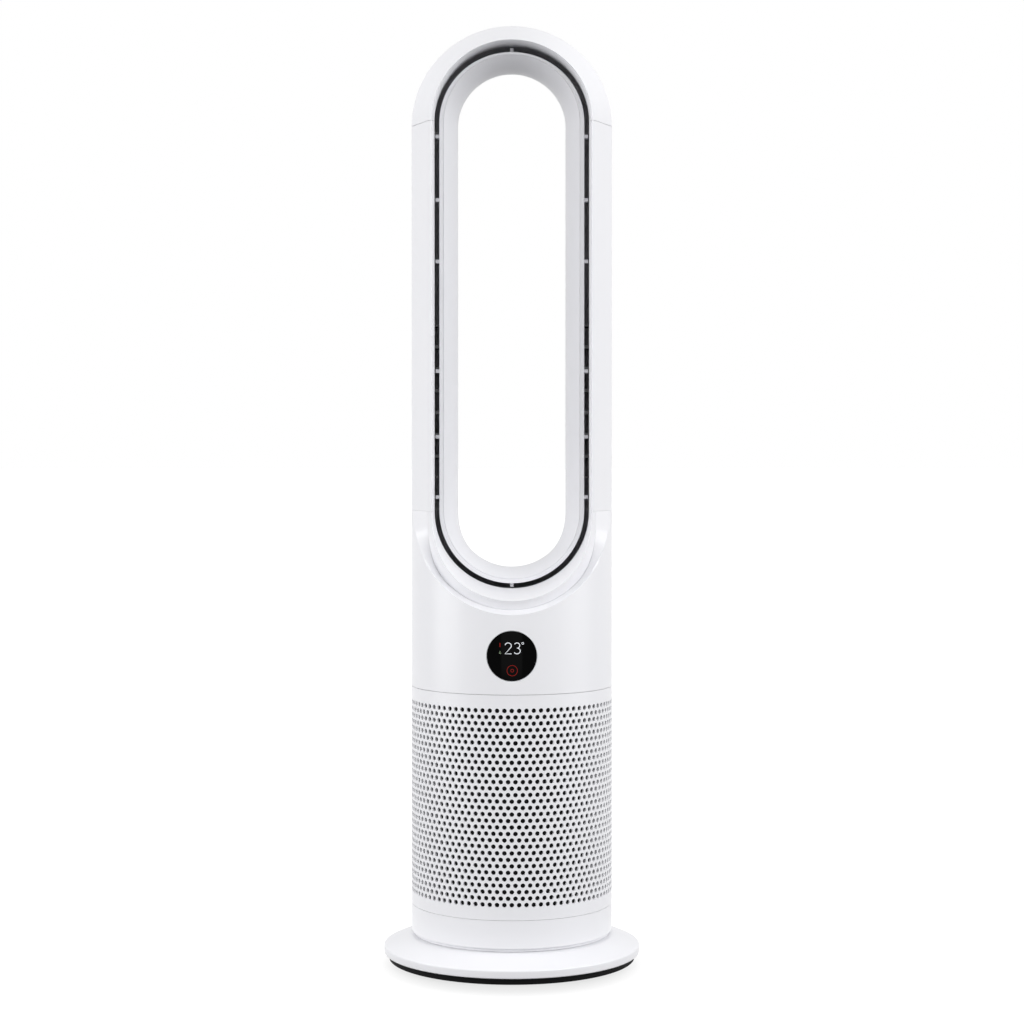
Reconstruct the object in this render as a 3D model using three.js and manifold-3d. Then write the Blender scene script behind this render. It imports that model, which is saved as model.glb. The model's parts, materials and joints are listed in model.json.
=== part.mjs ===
// Bladeless tower fan: a turning column with a perforated intake, a mixed-flow fan unit inside,
// and a stadium-shaped air loop with a narrow slot all round. Millimetres, +Z up, air leaves to -Y.
import * as THREE from "three";
import { mergeVertices } from "three/addons/utils/BufferGeometryUtils.js";
import Module from "manifold-3d";

const wasm = await Module();
wasm.setup();

// ---------------------------------------------------------------- driving dimensions
const seam = 0.3; // gap between pieces that seat on each other
const runningGap = 0.5; // radial gap round what turns
const roundSteps = 24; // facets round the large circles
const arcSteps = 14; // facets along a half turn of the loop
const innerSteps = 24; // facets round the circles inside the casing
const smallSteps = 16; // facets round the small circles

// Overall
const fanHeight = 912;
const columnRadius = 98;
const columnWall = 3;

// Base
const footHeight = 6.4;
const footInset = 4.7; // the foot ring stands in from the disc's edge
const footWidth = 14;
const baseRadius = 125;
const baseWall = 2.8;
const baseRimHeight = 7.6;
const baseTopZ = 25;
const baseTopInset = 1; // the disc's slope ends inside the column
const coverThickness = 2.5;
const ballastThickness = 6;
const ballastInset = 10.3;
const ballastBore = 34;
const cableBore = 11;

// Pivot and oscillation drive
const spindleRadius = 17;
const spindleFlangeRadius = 26;
const spindleFlangeThickness = 2.8;
const spindleCapThickness = 3;
const spindleCapRadius = 24;
const glideRadius = 73;
const glideWidth = 14;
const gearModule = 1.25;
const gearTeeth = 64;
const gearSectorTeeth = 18;
const gearThickness = 7;
const pinionTeeth = 14;
const pinionThickness = 6;
const pinionShaftRadius = 2.5;
const pressureAngle = THREE.MathUtils.degToRad(20);
const gearBacklash = 0.3;
const stepperRadius = 17;
const stepperHeight = 19;
const stepperEarWidth = 42;

// Column bottom ring
const neckHeight = 3;
const neckInset = 2.7;
const ringBottomZ = baseTopZ + neckHeight;
const ringTopZ = 55;
const floorThickness = 3;
const floorBossHeight = 5;
const ledgeWidth = 8;
const ledgeThickness = 2.5;

// Control board and power inlet
const boardThickness = 1.6;
const boardHeight = 9;
const boardInnerRadius = 34;
const boardInset = 9; // from the column's inner wall
const boardHalfAngle = THREE.MathUtils.degToRad(62);
const transformerSize = [22, 18, 6.5];
const relaySize = [12, 18, 6];
const capacitorRadius = 5;
const capacitorHeight = 7;
const partAngle = THREE.MathUtils.degToRad(33); // between the card's tall parts
const inletWidth = 22;
const inletHeight = 17;
const inletDepth = 17;
const inletMouthWidth = 14;
const inletMouthHeight = 8.6;
const inletMouthDepth = 10;
const inletPinRadius = 1.2;
const inletPinPitch = 8.6;
const inletWall = 0.4;

// Perforated section
const grilleTopZ = 267.2;
const grilleWall = 2.8;
const grilleRows = 7;
const grilleColumns = 6;
const grilleHole = 14;
const grilleMargin = 15;
const deckThickness = 2.5;
const cageRadius = 63;
const cageWall = 3;
const cageWindowRows = 2;
const cageWindowColumns = 6;
const cageWindowRib = 14;
const feltClearance = 1;
const carbonThickness = 4;
const pleatCount = 20;
const filterClearance = 2.9; // from the pleats to the cage
const pleatThickness = 2.4;

// Fan unit
const casingTopZ = 262;
const casingWall = 3.2;
const casingLength = 63;
const throatRadius = 46.5;
const ductRadius = 56.3;
const impellerLength = 30;
const impellerHubTop = 34;
const impellerHubNose = 15;
const bladeCount = 9;
const bladeThickness = 1.6;
const bladeWrap = THREE.MathUtils.degToRad(58);
const bladeTipGap = 1.1;
const shaftRadius = 3;
const motorRadius = 28;
const motorLength = 38;
const sleeveThickness = 2.4;
const podWall = 2.5;
const podLength = 42;
const podCapLength = 28;
const vaneCount = 7;
const vaneWrap = THREE.MathUtils.degToRad(-32);
const diffuserTopZ = 290;
const diffuserFlangeRadius = 72;
const funnelInset = 17;
const funnelLength = 40;
const funnelWall = 2.5;

// Display
const displayZ = 304;
const lensRadius = 23.4;
const lensThickness = 2;
const bezelWidth = 0.9;
const bezelDepth = 4;
const displayBossWall = 2;
const displayBossDepth = 12;
const displayModuleWidth = 30;
const displayModuleHeight = 22;
const displayModuleDepth = 4;

// Loop: its sections are drawn in (distance from the arc's axis, depth towards the front). An inset
// is how far a line stands in from the column's outer radius, which is the loop's as well.
const loopTopCentreZ = fanHeight - columnRadius;
const loopBottomCentreZ = 438.4;
const shellWall = 2.2;
const slotInset = 23.6; // outer edge of the air slot
const slotDepth = 38; // how far the slot stands before the column's axis
const slotWallLength = 26;
const crestInset = 20.9; // front-most edge in the arms
const crestDepth = 45;
const foldInset = 17; // line between the bezel and the side facet
const foldDepth = 40;
const edgeInset = 2.7; // small bevel at the outer edge
const edgeDepth = 8;
const lowerCrestInset = 14.9; // the same lines at the bottom of the loop
const lowerCrestPlanInset = 6.5; // and how far they stand in on plan
const lowerFoldInset = 6.3;
const lowerFoldPlanInset = 10;
const lowerOuterInset = 2.2;
const lowerBlend = THREE.MathUtils.degToRad(48);
const bezelReturn = 12;
const slotWidth = 4.2;
const rimTopInset = 1.8;
const rimDepth = 26;
const rimSkirt = 18;
const rimThickness = 2.2;
const ductWidth = 17.5; // from the slot's rim in to the throat
const lowerDuctWidth = 14.5;
const throatDepth = -8;
const rimFaceWidth = 4.5;
const throatWall = 2.3;
const rearLipInset = 25;
const rearLipDepth = 46;
const throatReturn = 2.5;
const flareSweep = THREE.MathUtils.degToRad(75);
const flareSteps = 3;
const spacerWidth = 3.5;
const spacerDepth = 15;
const spacerRecess = 5; // behind the rim's front
const spacerPlaces = [0.034, 0.19, 0.359, 0.643, 0.8, 0.962]; // shares of the straight arms
const heaterHeight = 150;
const heaterRise = 106.6; // from the lower arc's axis to the heater's middle
const heaterClearance = 5.5; // from the throat's wall
const heaterWidth = 18;
const heaterDepth = 28;
const heaterFins = 7;
const heaterFinThickness = 1.6;

// ---------------------------------------------------------------- derived places
const footRadius = baseRadius - footInset;
const ballastRadius = footRadius - ballastInset;
const baseTopRadius = columnRadius - baseTopInset;
const coverZ = footHeight + seam;
const ballastZ = coverZ + coverThickness + seam;
const wellUnderZ = ballastZ + ballastThickness + 3 * seam;
const wellFloorZ = wellUnderZ + baseWall;
const gearRadius = (gearModule * gearTeeth) / 2;
const pinionRadius = (gearModule * pinionTeeth) / 2;
const driveOffset = gearRadius + pinionRadius;
const neckRadius = columnRadius - neckInset;
const wellRadius = driveOffset + pinionRadius + gearModule + 2;
const floorTopZ = ringBottomZ + floorThickness;
const bossTopZ = floorTopZ + floorBossHeight;
const spindleTopZ = bossTopZ + 3 * seam;
const inletZ = floorTopZ + inletHeight / 2 + seam;
const innerRadius = columnRadius - columnWall;
const boardOuterRadius = innerRadius - boardInset;
const funnelRadius = innerRadius - funnelInset;
const ledgeTopZ = ringTopZ - ledgeThickness + seam;
const deckZ = ledgeTopZ + seam;
const deckTopZ = deckZ + deckThickness;
const flatness = Math.cos(Math.PI / roundSteps); // a large circle's facets stand this much nearer
const deckRadius = innerRadius * flatness - seam;
const grilleBottomZ = ringTopZ + seam;
const grilleInner = columnRadius - grilleWall;
const carbonOuterRadius = grilleInner * flatness - feltClearance;
const filterOuterRadius = (carbonOuterRadius - carbonThickness) * flatness - seam;
const pleatDepth = filterOuterRadius - pleatThickness - cageRadius - filterClearance;
const housingBottomZ = grilleTopZ + seam;
const housingDeckTopZ = housingBottomZ + columnWall;
const cageFlangeZ = housingBottomZ - seam - deckThickness;
const cageInner = cageRadius - cageWall;
const casingBottomZ = casingTopZ - casingLength;
const casingOuter = ductRadius + casingWall;
const podInner = motorRadius + sleeveThickness + 2 * seam;
const podOuter = podInner + podWall;
const podBottomZ = diffuserTopZ - podLength;
const impellerTopZ = podBottomZ - 2;
const impellerBottomZ = impellerTopZ - impellerLength;
const motorTopZ = diffuserTopZ - 3;
const shaftTopZ = motorTopZ + 3;
const slotRadius = columnRadius - slotInset;
const crestRadius = columnRadius - crestInset;
const foldRadius = columnRadius - foldInset;
const edgeRadius = columnRadius - edgeInset;
const lowerCrestRadius = columnRadius - lowerCrestInset;
const lowerCrestPlan = columnRadius - lowerCrestPlanInset;
const lowerFoldRadius = columnRadius - lowerFoldInset;
const lowerFoldPlan = columnRadius - lowerFoldPlanInset;
const lowerOuterRadius = columnRadius - lowerOuterInset;
const rearLipRadius = columnRadius - rearLipInset;
const rimRadius = slotRadius - slotWidth;
const throatFrontRadius = rimRadius - rimFaceWidth;
const throatInnerRadius = rimRadius - ductWidth;
const throatLowerRadius = rimRadius - lowerDuctWidth;
const heaterInnerRadius = throatInnerRadius + throatWall + heaterClearance;
const heaterZ = loopBottomCentreZ + heaterRise;

// ---------------------------------------------------------------- geometry helpers

/** A closed three.js geometry as a solid whose faces point out. */
function solid(geometry) {
  const bare = new THREE.BufferGeometry();
  const source = geometry.index ? geometry.toNonIndexed() : geometry;
  bare.setAttribute("position", source.getAttribute("position"));
  const merged = mergeVertices(bare, 1e-4);
  const corners = [];
  for (let i = 0; i < merged.index.count; i += 3) {
    const [a, b, c] = merged.index.array.slice(i, i + 3);
    if (a !== b && b !== c && c !== a) corners.push([a, b, c]);
  }
  const build = (faces) =>
    new wasm.Manifold(
      new wasm.Mesh({
        numProp: 3,
        vertProperties: merged.attributes.position.array,
        triVerts: Uint32Array.from(faces.flat()),
      }),
    );
  const made = build(corners);
  return made.volume() < 0 ? build(corners.map(([a, b, c]) => [a, c, b])) : made;
}

function join(...solids) {
  return solids.reduce((whole, piece) => whole.add(piece));
}

/** A closed profile of [radius, height] points turned about the Z axis. */
function lathe(profile, steps = roundSteps) {
  const points = profile.map(([r, z]) => new THREE.Vector2(r, z));
  points.push(points[0].clone());
  return solid(new THREE.LatheGeometry(points, steps).rotateX(Math.PI / 2));
}

function tube(inner, outer, bottom, top, steps = roundSteps) {
  return lathe([[inner, bottom], [outer, bottom], [outer, top], [inner, top]], steps);
}

function rod(radius, bottom, top, steps = smallSteps) {
  const geometry = new THREE.CylinderGeometry(radius, radius, top - bottom, steps);
  return solid(geometry.rotateX(Math.PI / 2).translate(0, 0, (top + bottom) / 2));
}

/** A round bar along Y, from one Y to another, at a height. */
function barY(radius, from, to, z, steps = smallSteps) {
  const geometry = new THREE.CylinderGeometry(radius, radius, to - from, steps);
  return solid(geometry.translate(0, (from + to) / 2, z));
}

function block([x0, x1], [y0, y1], [z0, z1]) {
  const geometry = new THREE.BoxGeometry(x1 - x0, y1 - y0, z1 - z0);
  return solid(geometry.translate((x0 + x1) / 2, (y0 + y1) / 2, (z0 + z1) / 2));
}

function plate(outline, bottom, top, hole) {
  const shape = new THREE.Shape(outline);
  if (hole) shape.holes.push(new THREE.Path(hole));
  const geometry = new THREE.ExtrudeGeometry(shape, { depth: top - bottom, bevelEnabled: false });
  return solid(geometry.translate(0, 0, bottom));
}

function circle(radius, steps, from = 0, to = 2 * Math.PI) {
  const count = to - from < 2 * Math.PI ? steps + 1 : steps;
  return Array.from({ length: count }, (_, i) => polar(radius, from + ((to - from) * i) / steps));
}

function polar(radius, angle) {
  return new THREE.Vector2(radius * Math.cos(angle), radius * Math.sin(angle));
}

/** A sector of a ring between two angles. */
function sector(inner, outer, from, to, bottom, top, steps) {
  const outline = [...circle(outer, steps, from, to), ...circle(inner, steps, from, to).reverse()];
  return plate(outline, bottom, top);
}

/** Rings of points, one per station, skinned into a closed body; open runs get end caps. Each quad
 * is split along its shorter diagonal, so that both faces of a twisted wall are split alike. */
function loft(rings, closed) {
  const size = rings[0].length;
  const points = rings.flat();
  const position = points.flatMap((p) => [p.x, p.y, p.z]);
  const index = [];
  const last = closed ? rings.length : rings.length - 1;
  for (let i = 0; i < last; i++) {
    const a = i * size;
    const b = ((i + 1) % rings.length) * size;
    for (let j = 0; j < size; j++) {
      const k = (j + 1) % size;
      const rising = points[a + j].distanceTo(points[b + k]);
      const falling = points[b + j].distanceTo(points[a + k]);
      if (rising < falling) index.push(a + j, b + j, b + k, a + j, b + k, a + k);
      else index.push(a + j, b + j, a + k, b + j, b + k, a + k);
    }
  }
  const cap = (ring, start, facesBack) => {
    const outline = ring.map((p) => p.flat);
    const turned = THREE.ShapeUtils.isClockWise(outline) !== facesBack;
    for (const [a, b, c] of THREE.ShapeUtils.triangulateShape(outline, []))
      index.push(start + a, start + (turned ? c : b), start + (turned ? b : c));
  };
  if (!closed) {
    cap(rings[0], 0, false);
    cap(rings.at(-1), (rings.length - 1) * size, true);
  }
  const geometry = new THREE.BufferGeometry();
  geometry.setAttribute("position", new THREE.Float32BufferAttribute(position, 3));
  geometry.setIndex(index);
  return solid(geometry);
}

/** A wall: an open line of [r, d] points and its copy moved to the right of its direction. */
function thicken(line, wall) {
  const points = line.map(([r, d]) => new THREE.Vector2(r, d));
  const normals = points.slice(1).map((p, i) => {
    const run = p.clone().sub(points[i]).normalize();
    return new THREE.Vector2(run.y, -run.x);
  });
  const inner = points.map((p, i) => {
    const before = normals[Math.max(i - 1, 0)];
    const after = normals[Math.min(i, normals.length - 1)];
    const bisector = before.clone().add(after).normalize();
    return p.clone().addScaledVector(bisector, wall / bisector.dot(before));
  });
  return [...points, ...inner.reverse()].map((p) => [p.x, p.y]);
}

// ---------------------------------------------------------------- the loop's path and section

/** Stations along an arc of the loop: the arc's axis height and the outward angle. */
function arc(centreZ, from, to, steps = arcSteps) {
  return Array.from({ length: steps + 1 }, (_, i) => ({
    z: centreZ,
    angle: from + ((to - from) * i) / steps,
  }));
}

const topArc = arc(loopTopCentreZ, 0, Math.PI);
const bottomArc = arc(loopBottomCentreZ, Math.PI, 2 * Math.PI);
const wholeLoop = [...topArc, ...bottomArc];

function arm(angle) {
  return [
    { z: loopBottomCentreZ + seam, angle },
    { z: loopTopCentreZ - seam, angle },
  ];
}

/** A section drawn at each station and skinned. */
function sweep(stations, section, closed = false) {
  const rings = stations.map((station) =>
    section(station).map(([r, d]) => {
      const x = r * Math.cos(station.angle);
      const z = station.z + r * Math.sin(station.angle);
      return Object.assign(new THREE.Vector3(x, -d, z), { flat: new THREE.Vector2(r, d) });
    }),
  );
  return loft(rings, closed);
}

/** 0 in the arms and the top arch, 1 along the bottom of the loop. */
function lowness({ angle }, blend = lowerBlend) {
  return THREE.MathUtils.smoothstep(Math.asin(Math.max(0, -Math.sin(angle))), 0, blend);
}

function highness({ angle }) {
  return Math.max(0, Math.sin(angle)) ** 2;
}

/** Depth at which a line at radius r meets an upright cylinder of the given plan radius. */
function depthOnPlan({ angle }, plan, r) {
  const across = r * (angle > Math.PI ? Math.cos(angle) : 1);
  return Math.sqrt(Math.max(0, plan ** 2 - across ** 2));
}

/** The lines that run round the loop, as [r, d] at a station. */
function outerLine(station) {
  const r = THREE.MathUtils.lerp(columnRadius, lowerOuterRadius, lowness(station));
  return [r, depthOnPlan(station, columnRadius, r) + 1 - lowness(station)];
}

function edgeLine(station) {
  const low = lowness(station);
  const [r, d] = outerLine(station);
  const inset = THREE.MathUtils.lerp(columnRadius - edgeRadius, 1.2, low);
  return [r - inset, d + THREE.MathUtils.lerp(edgeDepth - 1, -2.6, low)];
}

function foldLine(station) {
  const low = lowness(station);
  const r = THREE.MathUtils.lerp(foldRadius, lowerFoldRadius, low);
  const plan = THREE.MathUtils.lerp(Math.hypot(foldRadius, foldDepth), lowerFoldPlan, low);
  return [r, depthOnPlan(station, plan, r)];
}

function crestLine(station) {
  const low = lowness(station, 1.25 * lowerBlend);
  const r = THREE.MathUtils.lerp(crestRadius, lowerCrestRadius, low);
  const plan = THREE.MathUtils.lerp(Math.hypot(crestRadius, crestDepth), lowerCrestPlan, low);
  return [r, depthOnPlan(station, plan, r)];
}

function rearLipLine(station) {
  const low = lowness(station, 1.25 * lowerBlend);
  const r = THREE.MathUtils.lerp(rearLipRadius, lowerCrestRadius, low);
  const plan = THREE.MathUtils.lerp(Math.hypot(rearLipRadius, rearLipDepth), lowerFoldPlan, low);
  return [r, -depthOnPlan(station, plan, r)];
}

function behind([r, d]) {
  return [r, -d];
}

/** Part of an ellipse from the throat out to an edge of the duct. */
function flare([r0, d0], [r1, d1]) {
  return Array.from({ length: flareSteps }, (_, i) => {
    const turn = (flareSweep * (i + 1)) / flareSteps;
    const out = (1 - Math.cos(turn)) / (1 - Math.cos(flareSweep));
    const along = Math.sin(turn) / Math.sin(flareSweep);
    return [r0 + (r1 - r0) * out, d0 + (d1 - d0) * along];
  });
}

function bezelSection(station) {
  const [crestR, crestD] = crestLine(station);
  return [
    [slotRadius + 1.2, slotDepth - slotWallLength],
    [slotRadius, slotDepth],
    [crestR, crestD],
  ];
}

function frontShellSection(station) {
  const line = [...bezelSection(station), foldLine(station), edgeLine(station), outerLine(station)];
  return thicken([...line, [columnRadius, seam / 2]], shellWall);
}

function lowerBezelSection(station) {
  const [foldR, foldD] = foldLine(station);
  const line = [...bezelSection(station), [foldR - seam, foldD], [foldR - seam, foldD - bezelReturn]];
  return thicken(line, shellWall);
}

function rearShellSection(station) {
  const line = [outerLine(station), edgeLine(station), foldLine(station)].map(behind);
  return thicken([[columnRadius, -seam / 2], ...line, rearLipLine(station)], shellWall);
}

function rearLowerSection(station) {
  const [foldR, foldD] = foldLine(station);
  const line = [[foldR - seam, bezelReturn - foldD], [foldR - seam, -foldD], rearLipLine(station)];
  return thicken(line, shellWall);
}

/** The point a distance past b on the way from a to b. */
function onward([r0, d0], [r1, d1], distance) {
  const share = distance / Math.hypot(r1 - r0, d1 - d0);
  return [r1 + (r1 - r0) * share, d1 + (d1 - d0) * share];
}

function throatLine(station) {
  return [THREE.MathUtils.lerp(throatInnerRadius, throatLowerRadius, lowness(station)), throatDepth];
}

function throatSection(station) {
  const throat = throatLine(station);
  const lip = rearLipLine(station);
  const start = onward(behind(foldLine(station)), lip, seam);
  const turn = onward(behind(foldLine(station)), lip, seam + throatReturn);
  return thicken([start, ...flare(throat, turn).reverse(), throat, ...throatFront(throat)], throatWall);
}

function throatFront(throat) {
  return flare(throat, [throatFrontRadius, rimDepth]);
}

function rimLine(station) {
  return rimRadius - rimTopInset * highness(station);
}

function rimSection(station) {
  const outer = rimLine(station);
  const back = rimDepth - rimSkirt;
  const inner = outer - rimThickness;
  const [before, end] = throatFront(throatLine(station)).slice(-2);
  const [front, under] = thicken([onward(before, end, seam), onward(before, end, 1)], throatWall)
    .filter((_, i) => i === 0 || i === 3);
  return [front, [outer, rimDepth], [outer, back], [inner, back], [inner, under[1] - 1.5], under];
}

// ---------------------------------------------------------------- gear teeth

function involute(angle) {
  return Math.tan(angle) - angle;
}

/** The outline of one tooth centred on an angle, from root to root. */
function tooth(teeth, centre) {
  const pitch = (gearModule * teeth) / 2;
  const baseCircle = pitch * Math.cos(pressureAngle);
  const halfAt = (radius) => {
    const turn = radius > baseCircle ? Math.acos(baseCircle / radius) : 0;
    const play = gearBacklash / (2 * pitch);
    return Math.PI / (2 * teeth) - play + involute(pressureAngle) - involute(turn);
  };
  const radii = [pitch - 1.3 * gearModule, pitch, pitch + 0.95 * gearModule];
  const rising = radii.map((radius) => polar(radius, centre - halfAt(radius)));
  const falling = radii.toReversed().map((radius) => polar(radius, centre + halfAt(radius)));
  return [...rising, ...falling];
}

// ---------------------------------------------------------------- base

function footRing() {
  return tube(footRadius - footWidth, footRadius, 0, footHeight);
}

function bottomCover() {
  const rim = baseRadius - baseWall - 1;
  return tube(cableBore, rim, coverZ, coverZ + coverThickness, innerSteps);
}

function ballastPlate() {
  return tube(ballastBore, ballastRadius, ballastZ, ballastZ + ballastThickness, innerSteps);
}

/** Shallow disc with a raised centre and a well for the oscillation gear. */
function baseDisc() {
  const rimTop = footHeight + baseRimHeight;
  return lathe([
    [cableBore, wellUnderZ],
    [cableBore, wellFloorZ],
    [wellRadius, wellFloorZ],
    [wellRadius, baseTopZ],
    [baseTopRadius, baseTopZ],
    [baseRadius - 1.2, rimTop + 0.9],
    [baseRadius, rimTop],
    [baseRadius, footHeight],
    [baseRadius - baseWall, footHeight],
    [baseRadius - baseWall, rimTop - 1.5],
    [baseTopRadius - 1, baseTopZ - baseWall],
    [wellRadius + baseWall, baseTopZ - baseWall],
    [wellRadius + baseWall, wellUnderZ],
  ]);
}

function pivotSpindle() {
  const flangeZ = wellFloorZ + seam;
  const profile = [
    [cableBore, flangeZ],
    [spindleFlangeRadius, flangeZ],
    [spindleFlangeRadius, flangeZ + spindleFlangeThickness],
    [spindleRadius, flangeZ + spindleFlangeThickness],
    [spindleRadius, spindleTopZ],
    [cableBore, spindleTopZ],
  ];
  return lathe(profile, smallSteps);
}

function spindleCap() {
  const bottom = spindleTopZ + seam;
  return tube(cableBore, spindleCapRadius, bottom, bottom + spindleCapThickness, smallSteps);
}

function glideRing() {
  const half = glideWidth / 2;
  return tube(glideRadius - half, glideRadius + half, baseTopZ + seam, ringBottomZ - seam);
}

/** A ring fixed to the base, toothed only where the pinion travels. */
function sectorGear() {
  const step = (2 * Math.PI) / gearTeeth;
  const half = (gearSectorTeeth / 2) * step;
  const centres = Array.from({ length: gearSectorTeeth }, (_, i) => (i + 0.5) * step - half);
  const root = gearRadius - 1.3 * gearModule;
  const plain = circle(root, smallSteps, half, 2 * Math.PI - half);
  const outline = [...centres.flatMap((centre) => tooth(gearTeeth, centre)), ...plain];
  const bore = circle(spindleFlangeRadius + seam, smallSteps).reverse();
  const bottom = wellFloorZ + seam;
  return plate(outline, bottom, bottom + gearThickness, bore);
}

// ---------------------------------------------------------------- column bottom

/** Floor, outer wall, neck and ledge in one moulding, with seats for what stands on the floor. */
function bottomRing() {
  const bore = spindleRadius + runningGap;
  const shell = lathe([
    [bore, ringBottomZ],
    [neckRadius - columnWall, ringBottomZ],
    [neckRadius - columnWall, baseTopZ + 0.4],
    [neckRadius, baseTopZ + 0.4],
    [neckRadius, ringBottomZ],
    [columnRadius, ringBottomZ],
    [columnRadius, ringTopZ],
    [innerRadius, ringTopZ],
    [innerRadius, ledgeTopZ],
    [innerRadius - ledgeWidth, ledgeTopZ],
    [innerRadius, ledgeTopZ - ledgeWidth],
    [innerRadius, floorTopZ],
    [spindleCapRadius, floorTopZ],
    [spindleCapRadius, bossTopZ],
    [bore, bossTopZ],
  ]);
  const posts = [-1, 0, 1].map((side) => {
    const [x, y] = polar(boardOuterRadius - 8, Math.PI + side * 0.8 * boardHalfAngle);
    return rod(3, floorTopZ - 1, floorTopZ + boardHeight - seam, 12).translate(x, y, 0);
  });
  const shaftHole = rod(pinionShaftRadius + 1, ringBottomZ - 1, floorTopZ + 1);
  const mouth = block(
    [-inletWidth / 2 - seam, inletWidth / 2 + seam],
    [innerRadius - 6, columnRadius + 5],
    [inletZ - inletHeight / 2 - seam, inletZ + inletHeight / 2 + seam],
  );
  return join(shell, ...posts)
    .subtract(shaftHole.translate(driveOffset, 0, 0))
    .subtract(mouth);
}

/** Two-pin mains inlet let into the back of the ring. */
function powerInlet() {
  const face = Math.sqrt(columnRadius ** 2 - (inletWidth / 2) ** 2) - inletWall;
  const mouthFloor = face - inletMouthDepth;
  const half = inletWidth / 2;
  const body = block(
    [-half, half],
    [face - inletDepth, face],
    [inletZ - inletHeight / 2, inletZ + inletHeight / 2],
  );
  const mouth = block(
    [-inletMouthWidth / 2, inletMouthWidth / 2],
    [mouthFloor, face + 5],
    [inletZ - inletMouthHeight / 2, inletZ + inletMouthHeight / 2],
  );
  const pins = [-1, 1].map((side) =>
    barY(inletPinRadius, mouthFloor - 1, face - 1.5, inletZ, 8).translate(
      (side * inletPinPitch) / 2,
      0,
      0,
    ),
  );
  return join(body.subtract(mouth), ...pins);
}

function stepperMotor() {
  const bottom = floorTopZ + seam;
  const bore = rod(pinionShaftRadius + runningGap, bottom - 1, bottom + 6, 12);
  const ears = block(
    [-7, 7],
    [-stepperEarWidth / 2, stepperEarWidth / 2],
    [bottom, bottom + 1.5],
  );
  return join(rod(stepperRadius, bottom, bottom + stepperHeight), ears)
    .subtract(bore)
    .translate(driveOffset, 0, 0);
}

function drivePinion() {
  const step = (2 * Math.PI) / pinionTeeth;
  const outline = Array.from({ length: pinionTeeth }, (_, i) =>
    tooth(pinionTeeth, Math.PI + i * step),
  ).flat();
  const bottom = wellFloorZ + 1.3;
  const gear = plate(outline, bottom, bottom + pinionThickness);
  const shaft = rod(pinionShaftRadius, bottom + 1, floorTopZ + 5, 12);
  return join(gear, shaft).translate(driveOffset, 0, 0);
}

function controlBoard() {
  const from = Math.PI - boardHalfAngle;
  const to = Math.PI + boardHalfAngle;
  const bottom = floorTopZ + boardHeight;
  const top = bottom + boardThickness;
  const sink = boardThickness / 3; // how far the parts reach into the card
  const card = sector(boardInnerRadius, boardOuterRadius, from, to, bottom, top, 12);
  const middle = (boardInnerRadius + boardOuterRadius) / 2;
  const onCard = (made, angle) => made.translate(-middle, 0, top - sink).rotate([0, 0, angle]);
  const box = ([length, width, height]) =>
    block([-length / 2, length / 2], [-width / 2, width / 2], [0, height + sink]);
  const spread = THREE.MathUtils.radToDeg(partAngle);
  return join(
    card,
    onCard(box(transformerSize), 0),
    onCard(box(relaySize), -spread),
    onCard(rod(capacitorRadius, 0, capacitorHeight + sink, smallSteps), spread),
  );
}

// ---------------------------------------------------------------- perforated section

/** Half of the intake skin: a half tube with staggered square holes set on edge. */
function grille(side) {
  const gapAngle = seam / (2 * columnRadius);
  const from = side + gapAngle;
  const to = side + Math.PI - gapAngle;
  const skin = sector(
    grilleInner,
    columnRadius,
    from,
    to,
    grilleBottomZ,
    grilleTopZ,
    roundSteps / 2,
  );
  const bottom = grilleBottomZ + grilleMargin;
  const rise = (grilleTopZ - grilleMargin - bottom) / (grilleRows - 1);
  const turn = (to - from) / grilleColumns;
  const cutter = new THREE.BoxGeometry(3 * grilleWall, grilleHole / Math.SQRT2, grilleHole / Math.SQRT2)
    .rotateX(Math.PI / 4)
    .translate(columnRadius - grilleWall / 2, 0, 0);
  const holes = [];
  for (let row = 0; row < grilleRows; row++) {
    const shift = row % 2 ? 0.75 : 0.25;
    for (let column = 0; column < grilleColumns; column++) {
      const angle = from + (column + shift) * turn;
      holes.push(solid(cutter.clone().rotateZ(angle).translate(0, 0, bottom + row * rise)));
    }
  }
  return skin.subtract(wasm.Manifold.union(holes));
}

/** Deck, windowed tube and top flange that carry the filters and the fan unit. */
function chassisCage() {
  const flangeTop = cageFlangeZ + deckThickness;
  const shell = lathe([
    [cableBore, deckZ],
    [deckRadius, deckZ],
    [deckRadius, deckTopZ],
    [cageRadius, deckTopZ],
    [cageRadius, cageFlangeZ],
    [carbonOuterRadius, cageFlangeZ],
    [carbonOuterRadius, flangeTop],
    [cageInner, flangeTop],
    [cageInner, deckTopZ],
    [cableBore, deckTopZ],
  ], innerSteps);
  const bandTop = casingBottomZ - 4;
  const rise = (bandTop - deckTopZ) / cageWindowRows;
  const turn = (2 * Math.PI) / cageWindowColumns;
  const width = cageRadius * turn - cageWindowRib;
  const windows = [];
  for (let row = 0; row < cageWindowRows; row++) {
    for (let column = 0; column < cageWindowColumns; column++) {
      const low = deckTopZ + row * rise + cageWindowRib / 2;
      const high = low + rise - cageWindowRib;
      const cut = block([cageInner - 12, cageRadius + 5], [-width / 2, width / 2], [low, high]);
      windows.push(cut.rotate([0, 0, THREE.MathUtils.radToDeg((column + 0.5) * turn)]));
    }
  }
  return shell.subtract(wasm.Manifold.union(windows));
}

/** Half ring of pleated filter paper standing on the deck. */
function pleatedFilter(side) {
  const margin = 2 / filterOuterRadius;
  const step = (Math.PI - 2 * margin) / (2 * pleatCount);
  const zigzag = (shift) =>
    Array.from({ length: 2 * pleatCount + 1 }, (_, i) =>
      polar(filterOuterRadius - shift - (i % 2 ? pleatDepth : 0), side + margin + i * step),
    );
  const outline = [...zigzag(0), ...zigzag(pleatThickness).reverse()];
  return plate(outline, deckTopZ + seam, cageFlangeZ - seam);
}

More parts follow.
